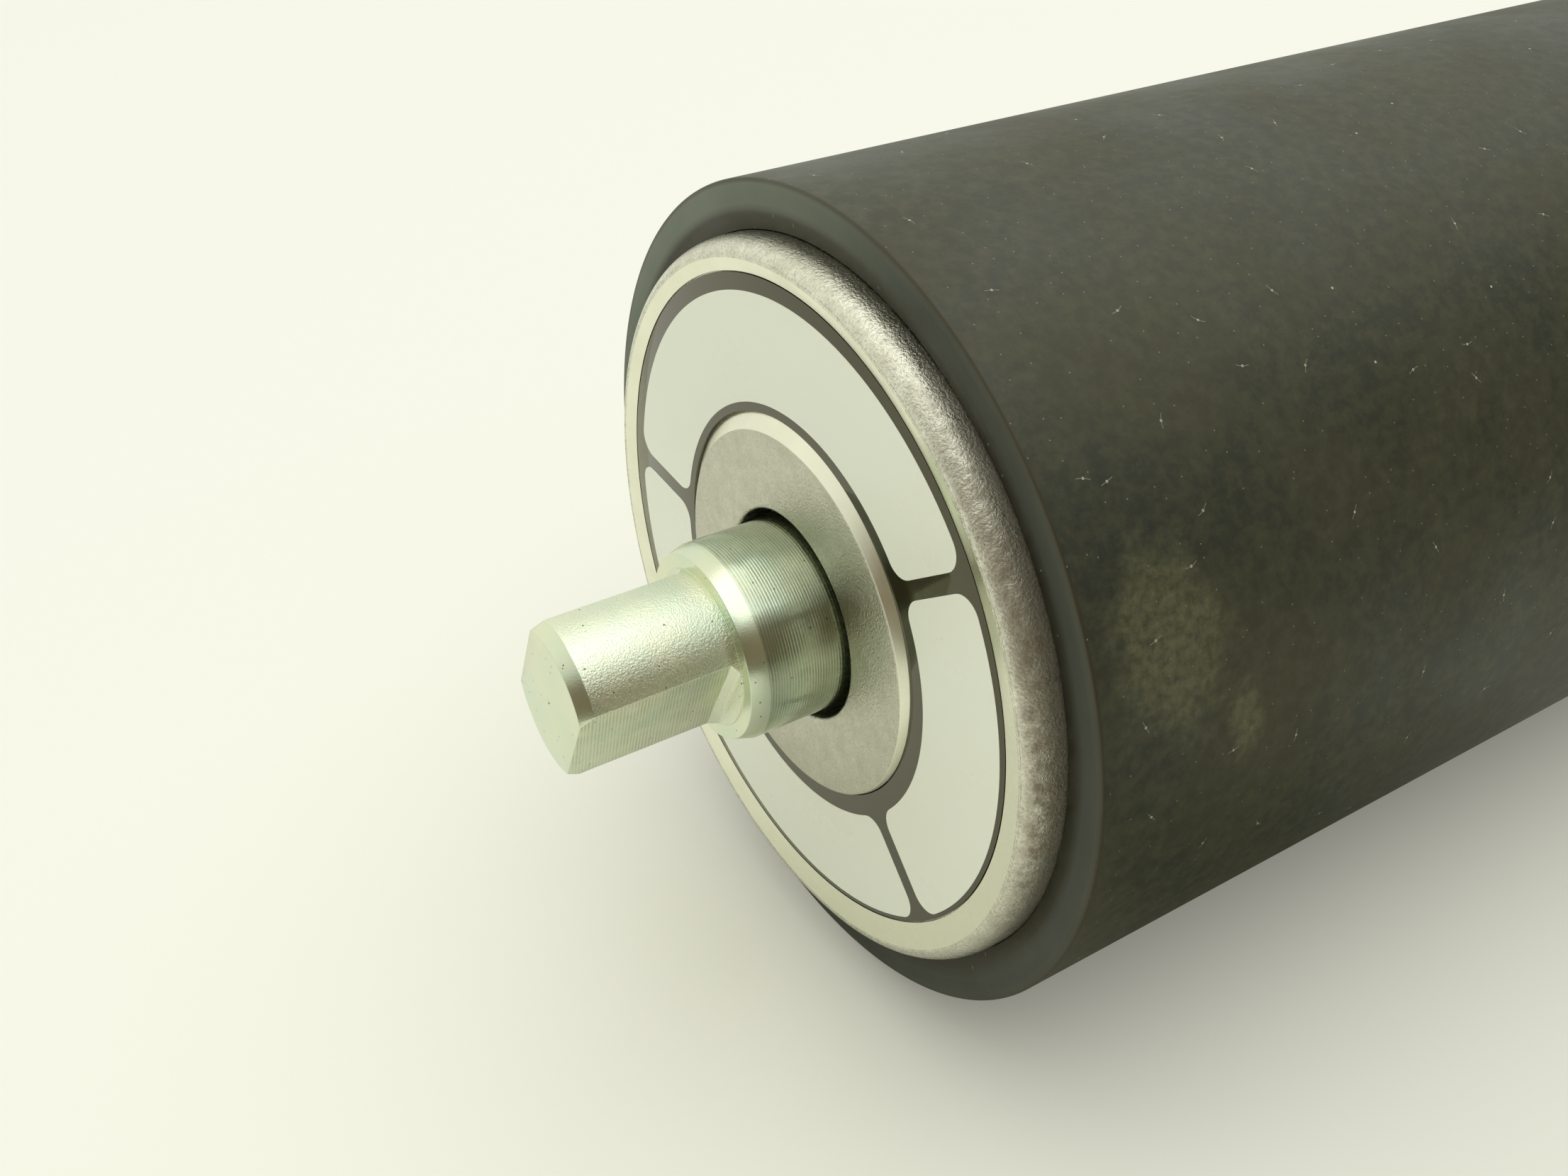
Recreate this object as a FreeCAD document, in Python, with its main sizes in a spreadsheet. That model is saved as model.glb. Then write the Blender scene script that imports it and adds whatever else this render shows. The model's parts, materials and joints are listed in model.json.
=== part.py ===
"""Motorized conveyor roller: rubber-covered tube on two end bearings, driven by a gearmotor inside it.

The roller's axis is X and its middle is the origin. The idle end with the name ring is at -X, the fixed
hollow shaft that carries the motor is at +X. All sizes are millimetres.
"""
import FreeCAD, Part
import math
import os
import Sketcher

SIZES = {
    # Roller shell
    "roller_length": 730.0,
    "tube_diameter": 57.0,
    "tube_wall": 2.0,
    "cover_thickness": 3.0,
    "cover_setback": 2.4,
    "cover_relief": 1.2,
    # End caps and name ring
    "flange_depth": 5.0,
    "flange_gap": 0.5,
    "rim_setback": 0.1,
    "rim_depth": 2.5,
    "rim_width": 1.4,
    "rim_land": 2.9,
    "hub_bevel": 0.8,
    "bore_gap": 0.7,
    "spigot_lip": 4.0,
    "label_inner_diameter": 30.0,
    "label_setback": 0.6,
    "label_thickness": 0.3,
    "label_fit": 0.1,
    # End bearings
    "bearing_bore": 15.0,
    "bearing_diameter": 35.0,
    "bearing_width": 11.0,
    "bearing_setback": 5.0,
    "inner_ring_wall": 3.1,
    "ring_gap": 0.3,
    # Shafts
    "shoulder_reach": 7.4,
    "shoulder_step": 1.5,
    "shoulder_chamfer": 0.9,
    "end_length": 12.0,
    "end_chamfer_width": 0.6,
    "end_chamfer_length": 0.85,
    "flats_across": 8.0,
    "flats_runout": 0.7,
    "idle_flats_angle": 26.4,
    "collar_length": 7.0,
    "collar_seat": 6.0,
    "cable_bore": 6.5,
    "bush_wall": 1.0,
    "bush_length": 8.0,
    # Motor
    "casing_gap": 2.0,
    "casing_wall": 1.5,
    "wiring_chamber_length": 8.0,
    "wire_slot_edge": 1.5,
    "wire_slot_width": 3.0,
    "wire_slots": 3,
    "shield_thickness": 8.0,
    "end_turn_gap": 6.0,
    "end_turn_length": 14.0,
    "stator_length": 70.0,
    "stator_yoke": 2.1,
    "stator_slots": 12,
    "slot_width": 4.2,
    "slot_depth": 6.6,
    "slot_mouth": 2.0,
    "slot_lip": 1.4,
    "slot_liner": 0.2,
    "cutout_width": 8.0,
    "cutout_thickness": 4.0,
    "air_gap": 0.4,
    "rotor_shaft_diameter": 8.0,
    "rotor_nose_diameter": 6.0,
    # Planetary gearbox
    "ring_wall": 4.0,
    "sun_teeth": 12,
    "planet_teeth": 12,
    "planets": 3,
    "pressure_angle": 25.0,
    "addendum": 0.8,
    "dedendum": 1.0,
    "backlash": 0.1,
    "planet_width": 8.0,
    "post_diameter": 4.0,
    "post_edge": 3.5,
    "carrier_thickness": 5.0,
    "stage_gap": 1.0,
    "running_clearance": 0.03,
    # Output
    "case_wall": 10.0,
    "output_shaft_diameter": 12.0,
    "hub_gap": 4.0,
    "hub_length": 18.0,
    "key_width": 4.0,
    "key_height": 4.0,
    "key_length": 14.0,
}

# Straight steps that make up the round of a cap's rim
RIM_STEPS = 3

# Stations along the axis, as expressions, from a cap's hub face towards the middle
FACE = "Size.roller_length / 2"
CREST = f"{FACE} - Size.rim_setback"
LABEL_TOP = f"{FACE} - Size.label_setback"
LABEL_FLOOR = f"{LABEL_TOP} - Size.label_thickness"
COVER_END = f"{FACE} - Size.cover_setback"
TUBE_END = f"{FACE} - Size.flange_depth"
BEARING_OUT = f"{FACE} - Size.bearing_setback"
BEARING_IN = f"{BEARING_OUT} - Size.bearing_width"
SPIGOT_END = f"{BEARING_IN} - Size.spigot_lip"
SHOULDER = f"{FACE} + Size.shoulder_reach"
TIP = f"{SHOULDER} + Size.end_length"
COLLAR_END = f"{BEARING_IN} - Size.collar_length"

# Stations of the gearmotor, from the cable shaft towards the middle
SEAT_END = f"{COLLAR_END} - Size.collar_seat"
CHAMBER_END = f"{SEAT_END} - Size.wiring_chamber_length"
SHIELD_INNER = f"{CHAMBER_END} - Size.shield_thickness"
TURNS_REAR = f"{SHIELD_INNER} - Size.end_turn_gap"
STATOR_REAR = f"{TURNS_REAR} - Size.end_turn_length"
STATOR_FRONT = f"{STATOR_REAR} - Size.stator_length"
TURNS_FRONT = f"{STATOR_FRONT} - Size.end_turn_length"
FRONT_INNER = f"{TURNS_FRONT} - Size.end_turn_gap"
GEARS_START = f"{FRONT_INNER} - Size.shield_thickness"
STAGE_PITCH = "(2 * Size.stage_gap + Size.planet_width + Size.carrier_thickness)"
PLANETS_1 = f"{GEARS_START} - Size.stage_gap"
PLATE_1 = f"{PLANETS_1} - Size.planet_width - Size.stage_gap"
PLANETS_2 = f"{PLANETS_1} - {STAGE_PITCH}"
PLATE_2 = f"{PLATE_1} - {STAGE_PITCH}"
GEARS_END = f"{PLATE_2} - Size.carrier_thickness - Size.stage_gap"
CASING_END = f"{GEARS_END} - Size.case_wall"
HUB_START = f"{CASING_END} - Size.hub_gap"
HUB_END = f"{HUB_START} - Size.hub_length"

# Radii, as expressions
TUBE_R = "Size.tube_diameter / 2"
TUBE_BORE_R = f"{TUBE_R} - Size.tube_wall"
COVER_R = f"{TUBE_R} + Size.cover_thickness"
FLANGE_R = f"{TUBE_R} - Size.flange_gap"
RECESS_R = f"{FLANGE_R} - Size.rim_land"
LABEL_OUTER_R = f"{RECESS_R} - Size.label_fit"
LABEL_INNER_R = "Size.label_inner_diameter / 2"
HUB_FACE_R = f"{LABEL_INNER_R} - Size.hub_bevel"
BEARING_R = "Size.bearing_diameter / 2"
SHAFT_R = "Size.bearing_bore / 2"
CAP_BORE_R = f"{SHAFT_R} + Size.bore_gap"
INNER_RING_R = f"{SHAFT_R} + Size.inner_ring_wall"
END_R = f"{SHAFT_R} - Size.shoulder_step"
CABLE_BORE_R = "Size.cable_bore / 2"
CASING_R = f"{TUBE_BORE_R} - Size.casing_gap"
CASING_BORE_R = f"{CASING_R} - Size.casing_wall"
SLOT_FLOOR_R = f"{CASING_BORE_R} - Size.stator_yoke"
SLOT_TOP_R = f"{SLOT_FLOOR_R} - Size.slot_depth"
STATOR_BORE_R = f"{SLOT_TOP_R} - Size.slot_lip"
ROTOR_R = f"{STATOR_BORE_R} - Size.air_gap"
ROTOR_SHAFT_R = "Size.rotor_shaft_diameter / 2"
TURNS_INNER_R = f"{SLOT_TOP_R} + Size.slot_liner"
TURNS_OUTER_R = f"{SLOT_FLOOR_R} - Size.slot_liner"
OUTPUT_R = "Size.output_shaft_diameter / 2"
POST_R = "Size.post_diameter / 2"
RING_MODULES = "((Size.sun_teeth + 2 * Size.planet_teeth) / 2 + Size.dedendum)"
GEAR_MODULE = f"({CASING_BORE_R} - Size.ring_wall) / {RING_MODULES}"
PLANET_ORBIT = f"{GEAR_MODULE} * (Size.sun_teeth + Size.planet_teeth) / 2"
KEY_SEAT = f"{OUTPUT_R} - Size.key_height / 2"

doc = FreeCAD.newDocument("motor_roller")
pieces = []


def make_sheet():
    """Driving sizes, one row each: name and value."""
    sheet = doc.addObject("Spreadsheet::Sheet", "Size")
    for row, (name, value) in enumerate(SIZES.items(), start=1):
        sheet.set(f"A{row}", name)
        sheet.set(f"B{row}", str(value))
        sheet.setAlias(f"B{row}", name)
    doc.recompute()


def make_gauge():
    """An object that works out an expression, for starting values and formula curves."""
    gauge = doc.addObject("App::FeaturePython", "Gauge")
    gauge.addProperty("App::PropertyFloat", "Reading")
    return gauge


make_sheet()
gauge = make_gauge()


def number(expression):
    """The value of an expression of the sheet."""
    gauge.setExpression("Reading", expression)
    gauge.recompute()
    return gauge.Reading


def mirrored(corners):
    """The same outline at the other end of the roller."""
    return [(f"-({x})", r) for x, r in corners]


def keep(piece, label):
    """Name a finished piece and put it on the list of pieces to write."""
    piece.Label = label
    pieces.append(piece)
    return piece


def new_body(name):
    return doc.addObject("PartDesign::Body", name)


def origin_feature(body, role):
    return next(item for item in body.Origin.OriginFeatures if item.Role == role)


def sketch_on(body, plane, name, station=None, turn=None):
    """A sketch on one of the body's own planes, shifted along its normal and turned about it."""
    sketch = body.newObject("Sketcher::SketchObject", name)
    sketch.AttachmentSupport = (origin_feature(body, plane), [""])
    sketch.MapMode = "FlatFace"
    if turn is not None:
        sketch.AttachmentOffset = FreeCAD.Placement(
            FreeCAD.Vector(0, 0, 0), FreeCAD.Rotation(FreeCAD.Vector(0, 0, 1), number(turn)))
        sketch.setExpression("AttachmentOffset.Rotation.Angle", turn)
    if station is not None:
        sketch.setExpression("AttachmentOffset.Base.z", station)
    return sketch


def bind(sketch, constraint, expression):
    index = sketch.addConstraint(constraint)
    sketch.setExpression(f"Constraints[{index}]", expression)


def draw_outline(sketch, corners):
    """A closed outline of straight lines, each corner bound to its two expressions."""
    points = [FreeCAD.Vector(number(x), number(y), 0) for x, y in corners]
    first = sketch.GeometryCount
    count = len(points)
    for index in range(count):
        sketch.addGeometry(Part.LineSegment(points[index], points[(index + 1) % count]))
    for index in range(count):
        following = first + (index + 1) % count
        sketch.addConstraint(Sketcher.Constraint("Coincident", first + index, 2, following, 1))
    for index, (x, y) in enumerate(corners):
        bind(sketch, Sketcher.Constraint("DistanceX", first + index, 1, points[index].x), x)
        bind(sketch, Sketcher.Constraint("DistanceY", first + index, 1, points[index].y), y)


def draw_circle(sketch, radius, x="0", y="0"):
    """A circle bound to its radius and centre."""
    centre = FreeCAD.Vector(number(x), number(y), 0)
    index = sketch.addGeometry(Part.Circle(centre, FreeCAD.Vector(0, 0, 1), number(radius)))
    bind(sketch, Sketcher.Constraint("DistanceX", index, 3, centre.x), x)
    bind(sketch, Sketcher.Constraint("DistanceY", index, 3, centre.y), y)
    bind(sketch, Sketcher.Constraint("Radius", index, number(radius)), radius)


def turn_outline(body, corners, name="Turned"):
    """Revolve an outline of (x, radius) corners about the roller's axis."""
    sketch = sketch_on(body, "XY_Plane", f"{name}Outline")
    draw_outline(sketch, corners)
    revolution = body.newObject("PartDesign::Revolution", name)
    revolution.Profile = sketch
    revolution.ReferenceAxis = (sketch, ["H_Axis"])
    revolution.Angle = 360
    return revolution


def turned_body(name, corners):
    body = new_body(name)
    turn_outline(body, corners)
    doc.recompute()
    return body


def ring_corners(start, end, inner, outer):
    """Outline of a plain ring between two stations, or of any rectangle."""
    return [(start, inner), (end, inner), (end, outer), (start, outer)]


def extrude(body, kind, sketch, length, name, reverse=False):
    """Pad or pocket a sketch by a length, along its normal or against it."""
    feature = body.newObject(kind, name)
    feature.Profile = sketch
    feature.setExpression("Length", length)
    feature.Reversed = reverse
    return feature


def cut_checked(body, sketch, length, name, reverse):
    """A pocket, with a check that it takes material away."""
    doc.recompute()
    before = body.Shape.Volume
    pocket = extrude(body, "PartDesign::Pocket", sketch, length, name, reverse)
    doc.recompute()
    if body.Shape.Volume >= before:
        raise RuntimeError(f"{name} cuts nothing")
    return pocket


def repeat_round(body, feature, count, name):
    """Copies of a feature round the roller's axis."""
    pattern = body.newObject("PartDesign::PolarPattern", name)
    pattern.Originals = [feature]
    pattern.Axis = (origin_feature(body, "X_Axis"), [""])
    pattern.Angle = 360
    pattern.setExpression("Occurrences", count)
    body.Tip = pattern
    return pattern


def pair_of(body, label):
    """A piece and its mirror image at the other end, as one node."""
    other = doc.addObject("Part::Mirroring", f"{body.Name}Other")
    other.Source = body
    other.Normal = FreeCAD.Vector(1, 0, 0)
    group = doc.addObject("Part::Compound", f"{body.Name}Pair")
    group.Links = [body, other]
    return keep(group, label)


def rounded_corner(x, r, depth, width, steps):
    """Points round an outer corner at a station and radius, as expressions: an oval arc in straight steps."""
    points = []
    for step in range(steps + 1):
        angle = math.pi / 2 * step / steps
        short_x = f"{depth} * {1 - math.cos(angle):.9f}"
        short_r = f"{width} * {1 - math.sin(angle):.9f}"
        points.append((f"{x} - {short_x}", f"{r} - {short_r}"))
    return points


def make_shell():
    """Steel tube with a rubber cover that overhangs it at both ends."""
    tube = turned_body("Tube", ring_corners(f"-({TUBE_END})", TUBE_END, TUBE_BORE_R, TUBE_R))
    keep(tube, "roller_tube")
    relief_start = f"{COVER_END} - Size.cover_relief"
    relief_r = f"{TUBE_R} + Size.cover_relief"
    right = [(relief_start, TUBE_R), (COVER_END, relief_r), (COVER_END, COVER_R)]
    cover = turned_body("Cover", right + mirrored(reversed(right)))
    keep(cover, "rubber_cover")


def make_end_caps():
    """Die-cast cap, the same at both ends: hub, recess for the name ring, dished rim, spigot and seat."""
    hub = [(FACE, CAP_BORE_R), (FACE, HUB_FACE_R)]
    recess = [(LABEL_FLOOR, LABEL_INNER_R), (LABEL_FLOOR, RECESS_R), (LABEL_TOP, RECESS_R)]
    rim = rounded_corner(CREST, FLANGE_R, "Size.rim_depth", "Size.rim_width", RIM_STEPS)
    spigot = [(TUBE_END, FLANGE_R), (TUBE_END, TUBE_BORE_R), (SPIGOT_END, TUBE_BORE_R)]
    seat = [(SPIGOT_END, BEARING_R), (BEARING_OUT, BEARING_R), (BEARING_OUT, CAP_BORE_R)]
    pair_of(turned_body("Cap", hub + recess + rim + spigot + seat), "end_caps")


def make_name_ring():
    """Printed ring in the recess of the idle end's cap."""
    corners = ring_corners(LABEL_FLOOR, LABEL_TOP, LABEL_INNER_R, LABEL_OUTER_R)
    keep(turned_body("NameRing", mirrored(corners)), "name_ring")


def make_bearing_rings():
    """Outer rings of the sealed end bearings, with their shields, in the seats of the caps."""
    shield_r = f"{INNER_RING_R} + Size.ring_gap"
    outer = turned_body("OuterRing", ring_corners(BEARING_IN, BEARING_OUT, shield_r, BEARING_R))
    pair_of(outer, "end_bearing_outer_rings")


def shaft_outline(core, collar_end):
    """Outline of a shaft with its bearing's inner ring, which is one band with the collar behind it."""
    return [
        (TIP, core), (TIP, f"{END_R} - Size.end_chamfer_width"),
        (f"{TIP} - Size.end_chamfer_length", END_R), (SHOULDER, END_R),
        (SHOULDER, f"{SHAFT_R} - Size.shoulder_chamfer"),
        (f"{SHOULDER} - Size.shoulder_chamfer", SHAFT_R),
        (BEARING_OUT, SHAFT_R), (BEARING_OUT, INNER_RING_R), (collar_end, INNER_RING_R), (collar_end, core)]


def cut_flats(body, tip, reverse, turn=None):
    """Two parallel flats milled on the small end of a shaft, almost up to its shoulder."""
    sketch = sketch_on(body, "YZ_Plane", "FlatsOutline", tip, turn)
    near = "Size.flats_across / 2"
    far = f"({SHAFT_R})"
    for sign in ("", "-"):
        draw_outline(sketch, ring_corners(f"{sign}{near}", f"{sign}{far}", f"-{far}", far))
    cut_checked(body, sketch, "Size.end_length - Size.flats_runout", "Flats", reverse)


def make_idle_shaft():
    """Solid shaft of the idle end: its collar bears on the bearing from inside the roller."""
    shaft = turned_body("IdleShaft", mirrored(shaft_outline("0", COLLAR_END)))
    cut_flats(shaft, f"-({TIP})", True, "Size.idle_flats_angle")
    keep(shaft, "idle_shaft")


def make_cable_shaft():
    """Hollow fixed shaft of the driven end, with a bush where the cable comes out."""
    shaft = turned_body("CableShaft", shaft_outline(CABLE_BORE_R, SEAT_END))
    cut_flats(shaft, TIP, False)
    keep(shaft, "cable_shaft")
    bush = ring_corners(f"{TIP} - Size.bush_length", TIP, f"{CABLE_BORE_R} - Size.bush_wall", CABLE_BORE_R)
    keep(turned_body("CableBush", bush), "cable_bush")


def make_motor_housing():
    """Casing tube, and the two shields in its ends that carry the rotor."""
    casing = turned_body("Casing", ring_corners(CASING_END, COLLAR_END, CASING_BORE_R, CASING_R))
    keep(casing, "motor_casing")
    bore_r = f"{ROTOR_SHAFT_R} + Size.running_clearance"
    rear = turned_body("RearShield", [
        (COLLAR_END, INNER_RING_R), (COLLAR_END, CASING_BORE_R), (SHIELD_INNER, CASING_BORE_R),
        (SHIELD_INNER, bore_r), (CHAMBER_END, bore_r), (CHAMBER_END, INNER_RING_R)])
    sketch = sketch_on(rear, "YZ_Plane", "WireSlotOutline", SHIELD_INNER)
    half_slot = "Size.wire_slot_width / 2"
    slot_start = f"{bore_r} + Size.wire_slot_edge"
    slot_end = f"{INNER_RING_R} - Size.wire_slot_edge"
    draw_outline(sketch, ring_corners(slot_start, slot_end, f"-{half_slot}", half_slot))
    slot = cut_checked(rear, sketch, "Size.shield_thickness", "WireSlot", True)
    repeat_round(rear, slot, "Size.wire_slots", "WireSlots")
    front = turned_body("FrontShield", ring_corners(GEARS_START, FRONT_INNER, bore_r, CASING_BORE_R))
    shields = doc.addObject("Part::Compound", "Shields")
    shields.Links = [rear, front]
    keep(shields, "motor_shields")


def end_turns(body, station, name):
    """Bundled coil ends: a ring with one flat side for each slot."""
    sides = int(number("Size.stator_slots"))
    half_side = math.pi / sides
    sketch = sketch_on(body, "YZ_Plane", f"{name}Outline", station)
    for flat_r in (TURNS_INNER_R, TURNS_OUTER_R):
        reach = f"({flat_r}) / {math.cos(half_side):.9f}"
        corners = []
        for side in range(sides):
            angle = half_side * (2 * side + 1)
            corners.append((f"{reach} * {math.cos(angle):.9f}", f"{reach} * {math.sin(angle):.9f}"))
        draw_outline(sketch, corners)
    extrude(body, "PartDesign::Pad", sketch, "Size.end_turn_length", name)


def make_stator():
    """Slotted core, a winding that lies in the slots and bunches at both ends, and its thermal cut-out."""
    core = turned_body("StatorCore", ring_corners(STATOR_FRONT, STATOR_REAR, STATOR_BORE_R, CASING_BORE_R))
    sketch = sketch_on(core, "YZ_Plane", "SlotOutline", STATOR_FRONT)
    half_slot = "Size.slot_width / 2"
    half_mouth = "Size.slot_mouth / 2"
    draw_outline(sketch, [
        (ROTOR_R, f"-{half_mouth}"), (SLOT_TOP_R, f"-{half_mouth}"), (SLOT_TOP_R, f"-{half_slot}"),
        (SLOT_FLOOR_R, f"-{half_slot}"), (SLOT_FLOOR_R, half_slot), (SLOT_TOP_R, half_slot),
        (SLOT_TOP_R, half_mouth), (ROTOR_R, half_mouth)])
    slot = cut_checked(core, sketch, "Size.stator_length", "Slot", True)
    repeat_round(core, slot, "Size.stator_slots", "Slots")
    keep(core, "stator_core")

    half_bar = f"({half_slot} - Size.slot_liner)"
    winding = new_body("Winding")
    end_turns(winding, STATOR_REAR, "RearTurns")
    bars = sketch_on(winding, "YZ_Plane", "BarOutline", TURNS_FRONT)
    draw_outline(bars, ring_corners(TURNS_INNER_R, TURNS_OUTER_R, f"-{half_bar}", half_bar))
    bar = extrude(winding, "PartDesign::Pad", bars, f"{TURNS_REAR} - ({TURNS_FRONT})", "Bar")
    doc.recompute()
    repeat_round(winding, bar, "Size.stator_slots", "Bars")
    doc.recompute()
    end_turns(winding, TURNS_FRONT, "FrontTurns")
    keep(winding, "stator_winding")

    cutout = doc.addObject("Part::Box", "Cutout")
    cutout.setExpression("Length", "Size.cutout_thickness")
    cutout.setExpression("Width", "Size.cutout_width")
    cutout.setExpression("Height", f"{TURNS_OUTER_R} - ({TURNS_INNER_R})")
    cutout.setExpression("Placement.Base.x", TURNS_REAR)
    cutout.setExpression("Placement.Base.y", "-Size.cutout_width / 2")
    cutout.setExpression("Placement.Base.z", TURNS_INNER_R)
    keep(cutout, "thermal_cutout")


def make_rotor():
    """Rotor: laminated core with its cast cage on a shaft, whose nose carries the pinion."""
    nose_r = "Size.rotor_nose_diameter / 2"
    nose_end = f"{PLANETS_1} - Size.planet_width"
    shaft_end = f"{CHAMBER_END} - Size.stage_gap"
    rear_half = [
        (shaft_end, "0"), (shaft_end, ROTOR_SHAFT_R), (STATOR_REAR, ROTOR_SHAFT_R), (STATOR_REAR, ROTOR_R)]
    front_half = [
        (STATOR_FRONT, ROTOR_R), (STATOR_FRONT, ROTOR_SHAFT_R), (PLANETS_1, ROTOR_SHAFT_R),
        (PLANETS_1, nose_r), (nose_end, nose_r), (nose_end, "0")]
    keep(turned_body("Rotor", rear_half + front_half), "motor_rotor")


def involute(angle):
    return math.tan(angle) - angle


def gear_points(teeth, radii, play, first_tooth):
    """Corners of a gear's outline: points of each flank, on its involute, at radii from root to tip."""
    pitch_r = number(GEAR_MODULE) * teeth / 2
    pressure = math.radians(number("Size.pressure_angle"))
    base_r = pitch_r * math.cos(pressure)

    def half_width(radius):
        roll = math.acos(min(1.0, base_r / radius))
        return math.pi / (2 * teeth) + involute(pressure) - involute(roll) - play / pitch_r

    flank = [(radius, half_width(radius)) for radius in radii]
    points = []
    for tooth in range(teeth):
        centre = first_tooth + 2 * math.pi * tooth / teeth
        sides = [(radius, centre - half) for radius, half in flank]
        sides += [(radius, centre + half) for radius, half in reversed(flank)]
        points += [FreeCAD.Vector(0, r * math.cos(angle), r * math.sin(angle)) for r, angle in sides]
    return points


def prism(points, length):
    """A solid with a straight-sided outline, along X."""
    face = Part.Face(Part.makePolygon(points + points[:1]))
    return face.extrude(FreeCAD.Vector(length, 0, 0))


def formula_piece(name, shape, station):
    """A piece whose outline is a formula curve, moved to its station along the axis."""
    feature = doc.addObject("Part::Feature", name)
    feature.Shape = shape
    feature.Placement = FreeCAD.Placement(FreeCAD.Vector(number(station), 0, 0), FreeCAD.Rotation())
    return feature


def external_gear(teeth, length, bore_r, first_tooth=0.0):
    """A spur gear from its front face at x = 0, with a round bore if it has one."""
    module = number(GEAR_MODULE)
    pitch_r = module * teeth / 2
    tip_r = pitch_r + module * number("Size.addendum")
    root_r = pitch_r - module * number("Size.dedendum")
    play = number("Size.backlash") / 2
    solid = prism(gear_points(teeth, (root_r, pitch_r, tip_r), play, first_tooth), length)
    if bore_r:
        hole = Part.makeCylinder(bore_r, length, FreeCAD.Vector(0, 0, 0), FreeCAD.Vector(1, 0, 0))
        solid = solid.cut(hole)
    return solid


def gear_teeth():
    """Teeth of the sun, a planet and the ring that surrounds them."""
    sun = int(number("Size.sun_teeth"))
    planet = int(number("Size.planet_teeth"))
    return sun, planet, sun + 2 * planet


def make_pinion():
    """Pinion on the rotor's nose, the sun of the first stage."""
    sun, _, _ = gear_teeth()
    gear = external_gear(sun, number("Size.planet_width"), number("Size.rotor_nose_diameter / 2"))
    keep(formula_piece("Pinion", gear, f"{PLANETS_1} - Size.planet_width"), "motor_pinion")


def planet_angles():
    """Where the planets sit: evenly, at angles where sun and ring both mesh."""
    sun, _, ring = gear_teeth()
    count = int(number("Size.planets"))
    return [2 * math.pi * round(k * (sun + ring) / count) / (sun + ring) for k in range(count)]


def make_planets(stage, station):
    """The planets of one stage, each turned so that its teeth mesh with the sun's."""
    sun, planet, _ = gear_teeth()
    width = number("Size.planet_width")
    bore_r = number(f"{POST_R} + Size.running_clearance")
    orbit = number(PLANET_ORBIT)
    start = f"{station} - Size.planet_width"
    for letter, angle in zip("abcdefgh", planet_angles()):
        phase = angle + math.pi + (angle * sun - math.pi) / planet
        gear = formula_piece(f"Planet{stage}{letter}", external_gear(planet, width, bore_r, phase), start)
        gear.Placement.Base += FreeCAD.Vector(0, orbit * math.cos(angle), orbit * math.sin(angle))
        keep(gear, f"stage_{stage}_planet_{letter}")


def make_gear_case():
    """Cup with inward teeth for both stages, whose end wall carries the output shaft."""
    _, planet, teeth = gear_teeth()
    module = number(GEAR_MODULE)
    pitch_r = module * teeth / 2
    root_r = pitch_r + module * number("Size.dedendum")
    tip_r = pitch_r - module * number("Size.addendum")
    wall = number("Size.case_wall")
    depth = number(f"{GEARS_START} - ({GEARS_END})")
    first_gap = math.pi * (planet + 1) / teeth
    gaps = prism(gear_points(teeth, (tip_r, root_r), -number("Size.backlash") / 2, first_gap), depth)
    gaps.translate(FreeCAD.Vector(wall, 0, 0))
    axis = FreeCAD.Vector(1, 0, 0)
    blank = Part.makeCylinder(number(CASING_BORE_R), wall + depth, FreeCAD.Vector(0, 0, 0), axis)
    bore_r = number(f"{OUTPUT_R} + Size.running_clearance")
    bore = Part.makeCylinder(bore_r, wall, FreeCAD.Vector(0, 0, 0), axis)
    keep(formula_piece("GearCase", blank.cut(gaps).cut(bore), CASING_END), "gear_case")


def on_orbit(angle, along="0", across="0"):
    """A point near a planet's centre, as expressions, shifted outwards and sideways."""
    cosine = f"{math.cos(angle):.9f}"
    sine = f"{math.sin(angle):.9f}"
    reach = f"({PLANET_ORBIT} + {along})"
    return f"{reach} * {cosine} - ({across}) * {sine}", f"{reach} * {sine} + ({across}) * {cosine}"


def carrier_plate(body, station):
    """Clipped triangular plate with a post for each planet."""
    edge = "Size.post_edge"
    plate = sketch_on(body, "YZ_Plane", "PlateOutline", station)
    draw_outline(plate, [
        on_orbit(angle, edge, side) for angle in planet_angles() for side in (f"-{edge}", edge)])
    extrude(body, "PartDesign::Pad", plate, "Size.carrier_thickness", "Plate", True)
    posts = sketch_on(body, "YZ_Plane", "PostOutline", station)
    for angle in planet_angles():
        draw_circle(posts, POST_R, *on_orbit(angle))
    extrude(body, "PartDesign::Pad", posts, "Size.stage_gap + Size.planet_width", "Posts")


def make_first_carrier():
    """First carrier: three posts for its planets, and the sun of the second stage behind."""
    sun, _, _ = gear_teeth()
    plate = new_body("Plate1")
    carrier_plate(plate, PLATE_1)
    length = number("Size.stage_gap + Size.planet_width")
    station = f"{PLATE_1} - Size.carrier_thickness - Size.stage_gap - Size.planet_width"
    second_sun = formula_piece("SecondSun", external_gear(sun, length, 0), station)
    carrier = doc.addObject("Part::Fuse", "Carrier1")
    carrier.Base = plate
    carrier.Tool = second_sun
    keep(carrier, "stage_1_carrier")


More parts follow.
